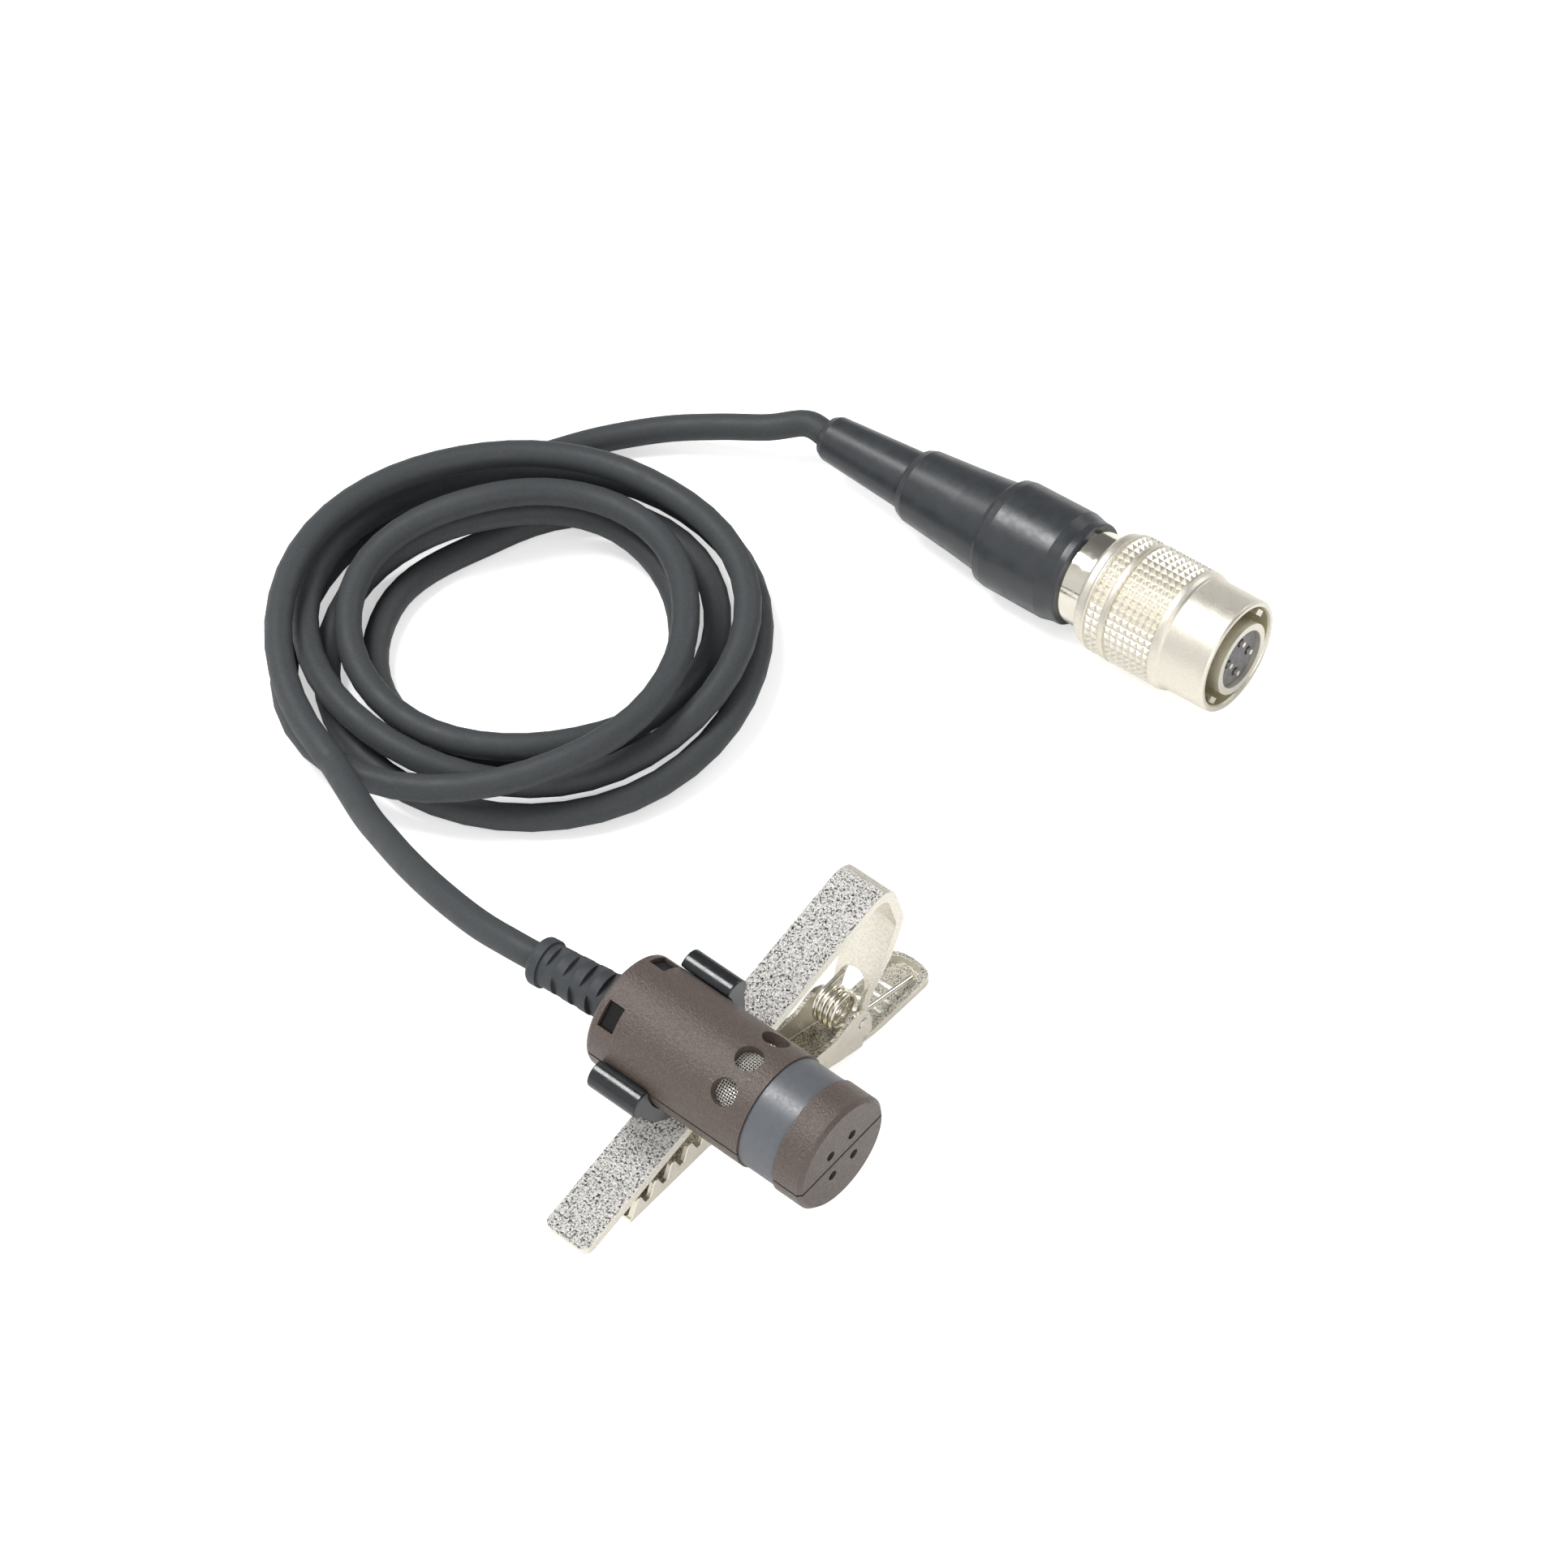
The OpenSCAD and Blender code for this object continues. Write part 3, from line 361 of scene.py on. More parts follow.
def holder_black(c):
    """Glossy plastic whose cut ends, across the barrel, are flat and grey."""
    f = moulded("holder_black", c.holder, rough=0.2, grain=0.14, height=0.008, tone=0.2)
    return f.tint(f.facing((1, 0, 0), 0.9, 0.97), linear(CUT_PLASTIC))


def frosted_nickel(c):
    """Top jaw: frosted on its upper side, with its sparkle painted as near-black and white specks, and plain
    plating on its edges and its underside.
    """
    f = Finish("frosted_nickel", metal=0.6)
    upper = f.facing(TOP_JAW_UP, 0.72, 0.9)
    speckle = f.noise(0.19, 4, rough=0.75)
    white = linear(FROST_GLINT_WHITE)
    # Painted glints: the frost's sparkle is painted as near-black and white specks over its whitish ground.
    f.colours(speckle, *tones(c.nickel, (0.40, 0.01), (0.455, 0.35)), (0.48, white), (0.6, white))
    f.tint(f.math("SUBTRACT", 1.0, upper), linear(c.nickel, 0.98))
    f.roughness(f.noise(0.3), 0.2, 0.32)
    return f.relief(speckle, height=0.18, strength=upper)


def lower_jaw_nickel(c):
    """Lower jaw: smooth walls, painted shade, mottled, on the floor of the channel, and a frosted thumb pad
    with painted glitter.
    """
    f = Finish("lower_jaw_nickel", metal=0.85)
    f.colours(f.noise(1.2, 4), *two_tone(c.nickel, 0.04))
    before_end = f.along((0, -1, 0), -CHANNEL_END_Y[1], -CHANNEL_END_Y[0])
    channel = f.math("MULTIPLY", f.facing(CHANNEL_UP, 0.8, 0.95), before_end)
    mottle = f.spread(f.noise(0.16, 4, rough=0.75), 1, 0.3, 0.42, 0.58)
    # Painted shade: the channel's floor between the walls is tinted darker, in patches.
    f.tint(f.math("MULTIPLY", channel, mottle), linear(PAINTED_CHANNEL_SHADE))
    pad = f.math("MULTIPLY", f.facing((0, 0, 1), 0.3, 0.6), f.along((0, 1, 0), *PAD_START_Y))
    speckle = f.noise(0.14, 4, rough=0.8)
    # Painted glitter: dark specks on the thumb pad stand for the frost's unlit facets.
    f.tint(f.math("MULTIPLY", pad, f.spread(speckle, 1, 0, 0.42, 0.52)), linear(c.nickel, 0.2))
    f.roughness(f.noise(0.4), 0.26, 0.38)
    return f.relief(speckle, height=0.1, strength=pad)


def sleeve_satin(name, rgb, tone, height, metal=0.9):
    """Fine blasted grain under the plating of the plug."""
    f = Finish(name, metal=metal)
    grain = f.noise(0.1, 3, rough=0.7)
    f.colours(grain, *tones(rgb, (0.34, 1 - tone), (0.56, 1.0), (0.66, 1 + tone / 2)))
    f.roughness(f.noise(0.25), 0.34, 0.46)
    return f.relief(f.noise(0.1, 3, rough=0.7), height, strength=0.7)


def make_finishes(c):
    """Every finish of the object, by name."""
    return {f.name: f.material for f in (
        barrel_plastic(c),
        moulded("band_plastic", c.band, rough=0.36, grain=0.1, height=0.01, tone=0.05),
        mesh_steel(),
        plated("capsule_metal", c.steel, rough=0.3, grain=0.1, height=0.01),
        moulded("capsule_plastic", c.insulator, rough=0.5, grain=0.1, height=0.01),
        moulded("board_green", BOARD_GREEN, rough=0.45, grain=0.15, height=0.01, tone=0.2),
        relief_rubber(c),
        moulded("wire_red", LEAD_RED, rough=0.45, grain=0.2, height=0.01),
        plated("ferrule_brass", c.gold, rough=0.3, grain=0.1, height=0.01),
        cord_jacket(c),
        holder_black(c),
        plated("clip_nickel", c.nickel, rough=0.3, grain=0.16, height=0.02),
        frosted_nickel(c),
        lower_jaw_nickel(c),
        plated("rib_frost", c.nickel, rough=0.36, grain=0.12, height=0.08, tone=0.4, strength=1.0),
        plated("spring_steel", c.nickel, rough=0.2, grain=0.25, height=0.01, tone=0.12),
        moulded("boot_rubber", c.boot, rough=0.34, grain=0.3, height=0.01, tone=0.12),
        plated("plug_polished", c.nickel, rough=0.1, grain=0.3, height=0.004),
        sleeve_satin("plug_satin", c.nickel, tone=0.12, height=0.03),
        sleeve_satin("plug_bore", c.bore, tone=0.3, height=0.05, metal=0.45),
        moulded("insulator_grey", c.insulator, rough=0.42, grain=0.08, height=0.03, tone=0.22),
        plated("contact_silver", BRIGHT_WIRE, rough=0.22, grain=0.1, height=0.003),
    )}


FINISHES = {}


def finish(name):
    if not FINISHES:
        FINISHES.update(make_finishes(bpy.context.scene.lavalier_colours))
    return FINISHES[name]


# Shapes

# A corner opener than this stays as it is, and another takes at most this share of an edge
NEARLY_STRAIGHT = math.radians(172)
MOST_OF_EDGE = 0.45
# Faces of a node are merged where they share points and lie flat, and rounded where they turn
SAME_POINT = 0.001 * MM
SAME_FACE = math.radians(0.5)
SHARP_EDGE = math.radians(40)


def rounded(points, radius, steps=3):
    """Open outline of pairs, with its corners rounded."""
    points = [Vector(p) for p in points]
    out = [points[0]]
    for before, here, after in zip(points, points[1:], points[2:]):
        back, on = before - here, after - here
        angle = back.angle(on, math.pi)
        if angle > NEARLY_STRAIGHT:
            out.append(here)
            continue
        reach = min(radius / math.tan(angle / 2), MOST_OF_EDGE * back.length, MOST_OF_EDGE * on.length)
        start, end = here + back.normalized() * reach, here + on.normalized() * reach
        for k in range(steps + 1):
            t = k / steps
            out.append(start.lerp(here, t).lerp(here.lerp(end, t), t))
    return [*out, points[-1]]


def angles_round(sides):
    return [2 * math.pi * k / sides for k in range(sides)]


def add_skin(bm, rings):
    """Faces from each ring of corners to the next."""
    for a, b in zip(rings, rings[1:]):
        for k in range(len(a)):
            n = (k + 1) % len(a)
            bm.faces.new((a[k], a[n], b[n], b[k]))


def add_turned(bm, profile, sides):
    """Surface turned round the X axis from an open outline of (radius, x) pairs."""
    add_skin(bm, [
        [bm.verts.new((x, radius * math.cos(a), radius * math.sin(a))) for a in angles_round(sides)]
        for radius, x in profile
    ])


def add_tube(bm, points, radius, sides):
    """Round tube along points, closed at both ends."""
    rings = []
    up = None
    for i, p in enumerate(points):
        ahead = points[min(i + 1, len(points) - 1)] - points[max(i - 1, 0)]
        ahead.normalize()
        if up is None:
            up = ahead.orthogonal().normalized()
        up = (up - ahead * up.dot(ahead)).normalized()
        side = ahead.cross(up)
        rings.append([
            bm.verts.new(p + radius * (math.cos(a) * up + math.sin(a) * side)) for a in angles_round(sides)
        ])
    add_skin(bm, rings)
    bm.faces.new(list(reversed(rings[0])))
    bm.faces.new(rings[-1])


def to_mesh(name, bm):
    mesh = bpy.data.meshes.new(name)
    bm.to_mesh(mesh)
    bm.free()
    return mesh


def new_piece(name, bm, matrix, finish_name, body, replaces=(), sharp=60):
    """Puts a shape in millimetres in its place as a piece."""
    bmesh.ops.recalc_face_normals(bm, faces=bm.faces)
    mesh = to_mesh(name, bm)
    mesh.transform(matrix)
    return settle(name, mesh, finish_name, body, replaces, sharp)


def settle(name, mesh, finish_name, body, replaces=(), sharp=60):
    """Makes a mesh a piece that rides on a body, or on none where no body is given."""
    mesh.materials.clear()
    mesh.materials.append(finish(finish_name))
    mesh.shade_smooth()
    mesh.set_sharp_from_angle(angle=math.radians(sharp))
    obj = bpy.data.objects.new(name, mesh)
    bpy.context.scene.collection.objects.link(obj)
    if body:
        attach(obj, body)
    if replaces:
        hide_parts(*replaces)
    return obj


def dress(finishes):
    """Gives nodes of the model their finishes."""
    for node, name in finishes.items():
        materials = frame["nodes"][node].data.materials
        materials.clear()
        materials.append(finish(name))


def soften(node, finish_name, edge):
    """Puts a copy of a node in its place, with its faces merged and its edges rounded by edge metres."""
    record = frame["record"]
    body = next(body for body, nodes in record["behaviour"]["bodies"].items() if node in nodes)
    bm = bmesh.new()
    bm.from_mesh(frame["nodes"][node].data)
    bmesh.ops.remove_doubles(bm, verts=bm.verts, dist=SAME_POINT)
    bmesh.ops.dissolve_limit(bm, angle_limit=SAME_FACE, verts=bm.verts, edges=bm.edges)
    obj = settle(node + "_soft", to_mesh(node, bm), finish_name, body, (node,), sharp=30)
    edges = obj.modifiers.new("edges", "BEVEL")
    edges.width = edge
    edges.segments = 2
    edges.limit_method = "ANGLE"
    edges.angle_limit = SHARP_EDGE
    edges.use_clamp_overlap = False
    edges.harden_normals = True


class Tree(Nodes):
    """Geometry node tree with named inputs, which ends in Realize Instances and Set Material."""

    def __init__(self, name, sizes):
        self.group = bpy.data.node_groups.new(name, "GeometryNodeTree")
        super().__init__(self.group)
        interface = self.group.interface
        for in_out in ("OUTPUT", "INPUT"):
            interface.new_socket(name="Geometry", in_out=in_out, socket_type="NodeSocketGeometry")
        self.sizes = sizes
        self.sockets = {}
        for label, value in sizes.items():
            kind = "NodeSocketInt" if isinstance(value, int) else "NodeSocketFloat"
            self.sockets[label] = interface.new_socket(name=label, in_out="INPUT", socket_type=kind)

    def given(self):
        """The mesh that the tree starts from, and then its sizes in order."""
        return self.nodes.new("NodeGroupInput").outputs[:len(self.sizes) + 1]

    def make(self, kind, inputs=None, **settings):
        """Adds a node and returns its first output."""
        return self.add(kind, inputs, **settings).outputs[0]

    def vector(self, x, y, z):
        return self.make("ShaderNodeCombineXYZ", {"X": x, "Y": y, "Z": z})

    def polar(self, x, radius, angle):
        """Place at an angle round the X axis."""
        return self.vector(
            x, self.math("MULTIPLY", radius, self.math("COSINE", angle)),
            self.math("MULTIPLY", radius, self.math("SINE", angle)),
        )

    def moved(self, mesh, place):
        return self.make("GeometryNodeSetPosition", {"Geometry": mesh, "Position": place})

    def repeat(self, shape, count, place, **more):
        """Puts the shape at count places."""
        points = self.make("GeometryNodePoints", {"Count": count, "Position": place})
        return self.make("GeometryNodeInstanceOnPoints", {"Points": points, "Instance": shape, **more})

    def round_axis(self, shape, count, x, radius, angle, scale=(1, 1, 1)):
        """Puts the shape at count places round the X axis, with its own Z pointing outward."""
        turned = self.vector(self.math("SUBTRACT", angle, math.pi / 2), 0.0, 0.0)
        rotation = self.make("FunctionNodeEulerToRotation", {"Euler": turned})
        return self.repeat(shape, count, self.polar(x, radius, angle), Rotation=rotation, Scale=scale)

    def wire(self, line, diameter, sides=5):
        """Round wire along a line of mesh edges."""
        inputs = {"Resolution": sides, "Radius": self.math("DIVIDE", diameter, 2.0)}
        section = self.make("GeometryNodeCurvePrimitiveCircle", inputs, mode="RADIUS")
        curve = self.make("GeometryNodeMeshToCurve", {"Mesh": line})
        return self.make("GeometryNodeCurveToMesh", {"Curve": curve, "Profile Curve": section})

    def grow(self, mesh, parts, finish_name):
        """Joins the parts, starts the tree from the given mesh and returns a plain mesh."""
        join = self.add("GeometryNodeJoinGeometry")
        for part in parts:
            self.links.new(part, join.inputs[0])
        whole = self.make("GeometryNodeRealizeInstances", {"Geometry": join.outputs[0]})
        inputs = {"Geometry": whole, "Material": finish(finish_name)}
        self.add("NodeGroupOutput", {0: self.make("GeometryNodeSetMaterial", inputs)})
        obj = bpy.data.objects.new(self.group.name, mesh)
        bpy.context.scene.collection.objects.link(obj)
        modifier = obj.modifiers.new(self.group.name, "NODES")
        modifier.node_group = self.group
        for label, value in self.sizes.items():
            modifier[self.sockets[label].identifier] = value
        result = bpy.data.meshes.new_from_object(obj.evaluated_get(bpy.context.evaluated_depsgraph_get()))
        obj.modifiers.remove(modifier)
        bpy.data.objects.remove(obj)
        return result


# Cord

# Lengths of the strain relief and of the plug with its boot, at whose ends the cord leaves
RELIEF_LENGTH, PLUG_LENGTH = 8.5, 46
# The cord's two free stretches, from the strain relief to the coil and from the coil to the boot
MIC_ROUTE = [
    (-38.85, -0.65, 16.2), (-44.3, 0.5, 14.7), (-49.75, 2.35, 12.55), (-54.7, 4.4, 10.45),
    (-58.85, 6.35, 8.5),
]
PLUG_ROUTE = [(-77.8, 56.9, 1.6), (-73.7, 61.6, 2.2), (-69.5, 64.6, 3), (-65.5, 66.9, 3.8)]
COIL_X, COIL_Y = -67.67, 35.28
# Radius and height of the coil at each sixth of a turn, with one pair more at each end
COIL_R = [
    34, 25, 19.75, 16.25, 17.25, 20.75, 20, 19.5, 18.75, 17, 19.75, 21.75,
    22.75, 20.25, 15.5, 11.25, 13.5, 14.75, 16, 15, 12, 11, 16.75, 17.75,
    17, 16.25, 14.5, 10.75, 13.25, 15.25, 20.5, 23.75, 19.5, 19, 24.25, 30,
]
COIL_Z = [
    8, 6.75, 7.5, 7.25, 6.75, 6.5, 3, 4.75, 4.5, 3.75, 2.5, 3,
    1.75, 1.5, 2.5, 4.5, 3.25, 1.5, 1.25, 1.5, 1.5, 1.25, 1.75, 2.75,
    4.5, 4.25, 5.5, 7.5, 6.5, 7.5, 7.25, 3.75, 1.5, 1.5, 2.25, 3,
]
COIL_START = -90
FREE_STEPS, COIL_STEPS = 6, 48


def curve_at(values, u):
    """Curve through values at u = 0, 1, 2, with one value more at each end."""
    i = min(int(u), len(values) - 4)
    t = u - i
    a, b, c, d = values[i:i + 4]
    return (2 * b + (c - a) * t + (2 * a - 5 * b + 4 * c - d) * t * t + (3 * b - 3 * c + d - a) * t ** 3) / 2


def smooth_path(points):
    """Curve through points, with FREE_STEPS pieces between each two."""
    points = [Vector(p) for p in points]
    ends = [2 * points[0] - points[1], *points, 2 * points[-1] - points[-2]]
    count = (len(points) - 1) * FREE_STEPS
    return [curve_at(ends, i / FREE_STEPS) for i in range(count + 1)]


def coil_point(turned, lowest):
    """Place in the coil after so many turns, no lower than a cord that lies on the table."""
    angle = math.radians(COIL_START - 360 * turned)
    r = curve_at(COIL_R, 6 * turned)
    z = max(lowest, curve_at(COIL_Z, 6 * turned))
    return Vector((COIL_X + r * math.cos(angle), COIL_Y + r * math.sin(angle), z))


def cord_path(cord):
    """Centre line of the cord in the part's millimetres, from the strain relief to the boot."""
    d = cord.diameter / MM
    mouth = PART.inverted() @ RELIEF @ Vector((-RELIEF_LENGTH, 0, 0))
    boot = PART.inverted() @ PLUG @ Vector((-PLUG_LENGTH, 0, 0))
    count = round(COIL_STEPS * cord.turns)
    loops = [coil_point(cord.turns * i / count, d / 2) for i in range(count + 1)]
    into, out = (loops[1] - loops[0]).normalized(), (loops[-1] - loops[-2]).normalized()
    first = smooth_path([mouth, mouth + d * heading(RELIEF, -1), *MIC_ROUTE, loops[0] - d * into, loops[0]])
    last = smooth_path([loops[-1], loops[-1] + d * out, *PLUG_ROUTE, boot + d * heading(PLUG, -1), boot])
    return first[:-1] + loops + last[1:]


class LAVALIER_OT_cord(bpy.types.Operator):
    """Add the cord: the stretch at the microphone, the coil and the stretch at the plug"""

    bl_idname = "lavalier.cord"
    bl_label = "Cord"

    def execute(self, context):
        cord = context.scene.lavalier_cord
        path = cord_path(cord)
        bm = bmesh.new()
        add_tube(bm, path, cord.diameter / MM / 2, cord.sides)
        nodes = ("cable_mic_side", "cable_coil", "cable_plug_side")
        obj = new_piece("cord", bm, PART, "cord_jacket", "microphone", nodes)
        dress({"cable_entry": "cord_jacket", "cable_tail": "cord_jacket"})
        return {"FINISHED"}


# Stage, in the frame's metres

CAMERA_AT = (0.18713, -0.214484, 0.37872)
CAMERA_AIM = (-0.4216, 0.4926, -0.7613)
LENS, SENSOR = 130.18, 36
# The world is brightest this way and dims towards the other, from one cosine down to the other
WORLD_BRIGHT_WAY = (-0.2, -0.85, -0.45)
WORLD_DIM_AT, WORLD_FULL_AT = -0.75, 0.45
WORLD_STRENGTH, WORLD_DIMMEST = 0.8, 0.22
LAMPS_AIM = Vector((-0.02, 0.02, 0))
# Name, place, power in watts and width of each lamp
LAMPS = (
    ("key", (-0.36, -0.12, 0.76), 5, 0.3),
    ("fill", (0.6, -0.3, 0.4), 2, 0.6),
    ("back", (0.1, 0.8, 0.5), 2, 0.5),
)
FLOOR_REACH = 3
FLOOR_GLOW = 0.5


def add_camera(scene):
    data = bpy.data.cameras.new("camera")
    data.sensor_width = SENSOR
    data.lens = LENS
    data.clip_start = 0.01
    data.clip_end = 10
    camera = bpy.data.objects.new("camera", data)
    forward = Vector(CAMERA_AIM).normalized()
    right = forward.cross(Vector((0, 0, 1))).normalized()
    up = right.cross(forward)
    rotation = Matrix((right, up, -forward)).transposed().to_4x4()
    camera.matrix_world = Matrix.Translation(CAMERA_AT) @ rotation
    scene.collection.objects.link(camera)
    scene.camera = camera
    scene.view_settings.view_transform = "Standard"


def light_world(scene):
    """Soft light from one side on the object, and plain white for the camera."""
    world = scene.world or bpy.data.worlds.new("world")
    scene.world = world
    world.use_nodes = True
    tree = Nodes(world.node_tree)
    tree.nodes.clear()
    way = tree.add("ShaderNodeTexCoord").outputs["Generated"]
    toward = tree.dot(way, Vector(WORLD_BRIGHT_WAY).normalized())
    level = tree.spread(toward, WORLD_DIMMEST, 1.0, WORLD_DIM_AT, WORLD_FULL_AT)
    light = tree.add("ShaderNodeBackground", {"Color": level, "Strength": WORLD_STRENGTH})
    white = tree.add("ShaderNodeBackground", {"Color": (1, 1, 1, 1)})
    seen = tree.add("ShaderNodeLightPath").outputs["Is Camera Ray"]
    mix = tree.add("ShaderNodeMixShader", {0: seen, 1: light.outputs[0], 2: white.outputs[0]})
    tree.add("ShaderNodeOutputWorld", {"Surface": mix.outputs[0]})


def add_lamps(scene):
    for name, at, watts, width in LAMPS:
        lamp = bpy.data.lights.new(name, "AREA")
        lamp.energy = watts
        lamp.size = width
        obj = bpy.data.objects.new(name, lamp)
        obj.location = at
        obj.rotation_mode = "QUATERNION"
        obj.rotation_quaternion = (LAMPS_AIM - Vector(at)).to_track_quat("-Z", "Y")
        scene.collection.objects.link(obj)


def floor_finish(rgb):
    """Pale floor that shows a little brighter to the camera than its light makes it."""
    f = Finish("floor", specular=0.1)
    f.colours(f.noise(40, 3), *two_tone(rgb, 0.01))
    f.roughness(f.noise(5), 0.8, 0.9)
    plain = f.shader.outputs[0]
    glow = f.add("ShaderNodeEmission", {"Strength": FLOOR_GLOW})
    brighter = f.add("ShaderNodeAddShader", {0: plain, 1: glow.outputs[0]})
    seen = f.add("ShaderNodeLightPath").outputs["Is Camera Ray"]
    mix = f.add("ShaderNodeMixShader", {0: seen, 1: plain, 2: brighter.outputs[0]})
    f.links.new(mix.outputs[0], f.nodes["Material Output"].inputs["Surface"])
    return f.material


class LAVALIER_OT_stage(bpy.types.Operator):
    """Add the camera, the lamps and the floor"""

    bl_idname = "lavalier.stage"
    bl_label = "Stage"

    def execute(self, context):
        scene = context.scene
        add_camera(scene)
        light_world(scene)
        add_lamps(scene)
        bm = bmesh.new()
        bmesh.ops.create_grid(bm, x_segments=8, y_segments=8, size=FLOOR_REACH)
        mesh = to_mesh("floor", bm)
        mesh.materials.append(floor_finish(scene.lavalier_colours.floor))
        floor = bpy.data.objects.new("floor", mesh)
        scene.collection.objects.link(floor)
        return {"FINISHED"}


# Microphone

BARREL_FINISHES = {
    "upper_shell": "barrel_plastic",
    "lower_shell": "barrel_plastic",
    "id_band": "band_plastic",
    "front_mesh": "mesh_steel",
    "capsule_can": "capsule_metal",
    "diaphragm": "capsule_metal",
    "spacer_ring": "capsule_plastic",
    "back_plate": "capsule_metal",
    "capsule_insulator": "capsule_plastic",
    "capsule_board": "board_green",
    "capsule_gasket": "relief_rubber",
    "lead_wires": "wire_red",
    "cable_ferrule": "ferrule_brass",
    "mic_relief": "relief_rubber",
}
# The port mesh's middle along the barrel, and the radius that its wires weave about
MESH_X, MESH_R = -9.3, 4.19


class LAVALIER_OT_barrel(bpy.types.Operator):
    """Finish the barrel's two shells, the band and the pieces inside"""

    bl_idname = "lavalier.barrel"
    bl_label = "Barrel"

    def execute(self, context):
        dress(BARREL_FINISHES)
        return {"FINISHED"}


class LAVALIER_OT_port_mesh(bpy.types.Operator):
    """Add the woven mesh behind the side ports"""

    bl_idname = "lavalier.port_mesh"
    bl_label = "Port Mesh"

    def execute(self, context):
        sizes = context.scene.lavalier_mesh
        wire = sizes.wire / MM
        tree = Tree("port_mesh_weave", {
            "Wires along": sizes.around, "Wires round": sizes.rings, "Length": sizes.length / MM,
            "Wire": wire, "Radius": MESH_R, "Lift": wire / 2,
        })
        _, along, rings, length, thick, radius, lift = tree.given()
        calc = tree.math
        index = tree.make("GeometryNodeInputIndex")
        start = calc("DIVIDE", length, -2.0)
        step = calc("DIVIDE", length, calc("MULTIPLY", calc("SUBTRACT", rings, 1.0), 2.0))
        spacing = calc("DIVIDE", 2 * math.pi, along)
        odd = calc("MODULO", index, 2.0)
        rise = calc("MULTIPLY", calc("COSINE", calc("MULTIPLY", index, math.pi / 2)), lift)

        # A wire along the barrel passes over and under the rings; every second one is turned over
        points = calc("SUBTRACT", calc("MULTIPLY", rings, 2.0), 1.0)
        line = tree.make("GeometryNodeMeshLine", {"Count": points}, mode="OFFSET", count_mode="TOTAL")
        line = tree.moved(line, tree.vector(calc("ADD", start, calc("MULTIPLY", index, step)), 0.0, rise))
        angle = calc("MULTIPLY", index, spacing)
        over = tree.vector(1.0, 1.0, calc("SUBTRACT", 1.0, calc("MULTIPLY", odd, 2.0)))
        lengthwise = tree.round_axis(tree.wire(line, thick), along, 0.0, radius, angle, over)

        # A ring goes the other way at each crossing; every second one is turned by one wire
        ring = tree.make("GeometryNodeMeshCircle", {"Vertices": calc("MULTIPLY", along, 2.0), "Radius": 1.0})
        ring_angle = calc("MULTIPLY", index, calc("DIVIDE", spacing, 2.0))
        ring = tree.moved(ring, tree.polar(0.0, calc("SUBTRACT", radius, rise), ring_angle))
        ring_x = calc("ADD", start, calc("MULTIPLY", index, calc("MULTIPLY", step, 2.0)))
        turned = calc("ADD", math.pi / 2, calc("MULTIPLY", odd, spacing))
        crosswise = tree.round_axis(tree.wire(ring, thick), rings, ring_x, 0.0, turned)

        mesh = tree.grow(bpy.data.meshes.new("port_mesh_base"), [lengthwise, crosswise], "mesh_steel")
        mesh.transform(MIC @ Matrix.Translation((MESH_X, 0, 0)))
        settle("port_mesh_weave", mesh, "mesh_steel", "microphone", ("port_mesh",))
        return {"FINISHED"}


# Clip and springs

# Rounding of the holder's edges, in metres as the clip's own setting is
HOLDER_EDGE = 0.15 * MM
# The thumb pad's ribs: the distance between them, their size and the place of the first
RIB_PITCH, RIB_WIDTH, RIB_HALF_HEIGHT, RIB_HALF_DEPTH = 1.25, 3.3, 0.36, 0.38
FIRST_RIB_Y, RIB_Z = 22.05, 0.5
# Below 1, the smaller it is the squarer a rib's ends are
RIB_END_POWER = 0.3

# The clip's spring: middle and radius of its curls, where they start across the clip, and their pitch
CURL_Y, CURL_Z, CURL_R = 18.75, 4.75, 1.62
FIRST_CURL_X, CURL_PITCH = CLIP_MID + 1, 0.58
CURL_STEP = 10
# Angle above level and length of its leg on the thumb pad, and of its leg against the top jaw
PAD_LEG_ANGLE, PAD_LEG, PAD_LEG_PIECES = -13.5, 9.5, 16
JAW_LEG_ANGLE, JAW_LEG = 5, 2.4

# The spring round the plug's inner barrel: the sleeve's shoulder, its seat, and its gap at each end
SHOULDER_X, SEAT_X, SEAT_GAP = -9.2, -12.6, 0.22
# Its radius is midway between the outside of the inner barrel and the sleeve's bore
PLUG_SPRING_R, PLUG_SPRING_WIRE_R = (3.5 + 4.8) / 2, 0.2
PLUG_SPRING_TURNS, PLUG_SPRING_STEPS = 3, 36


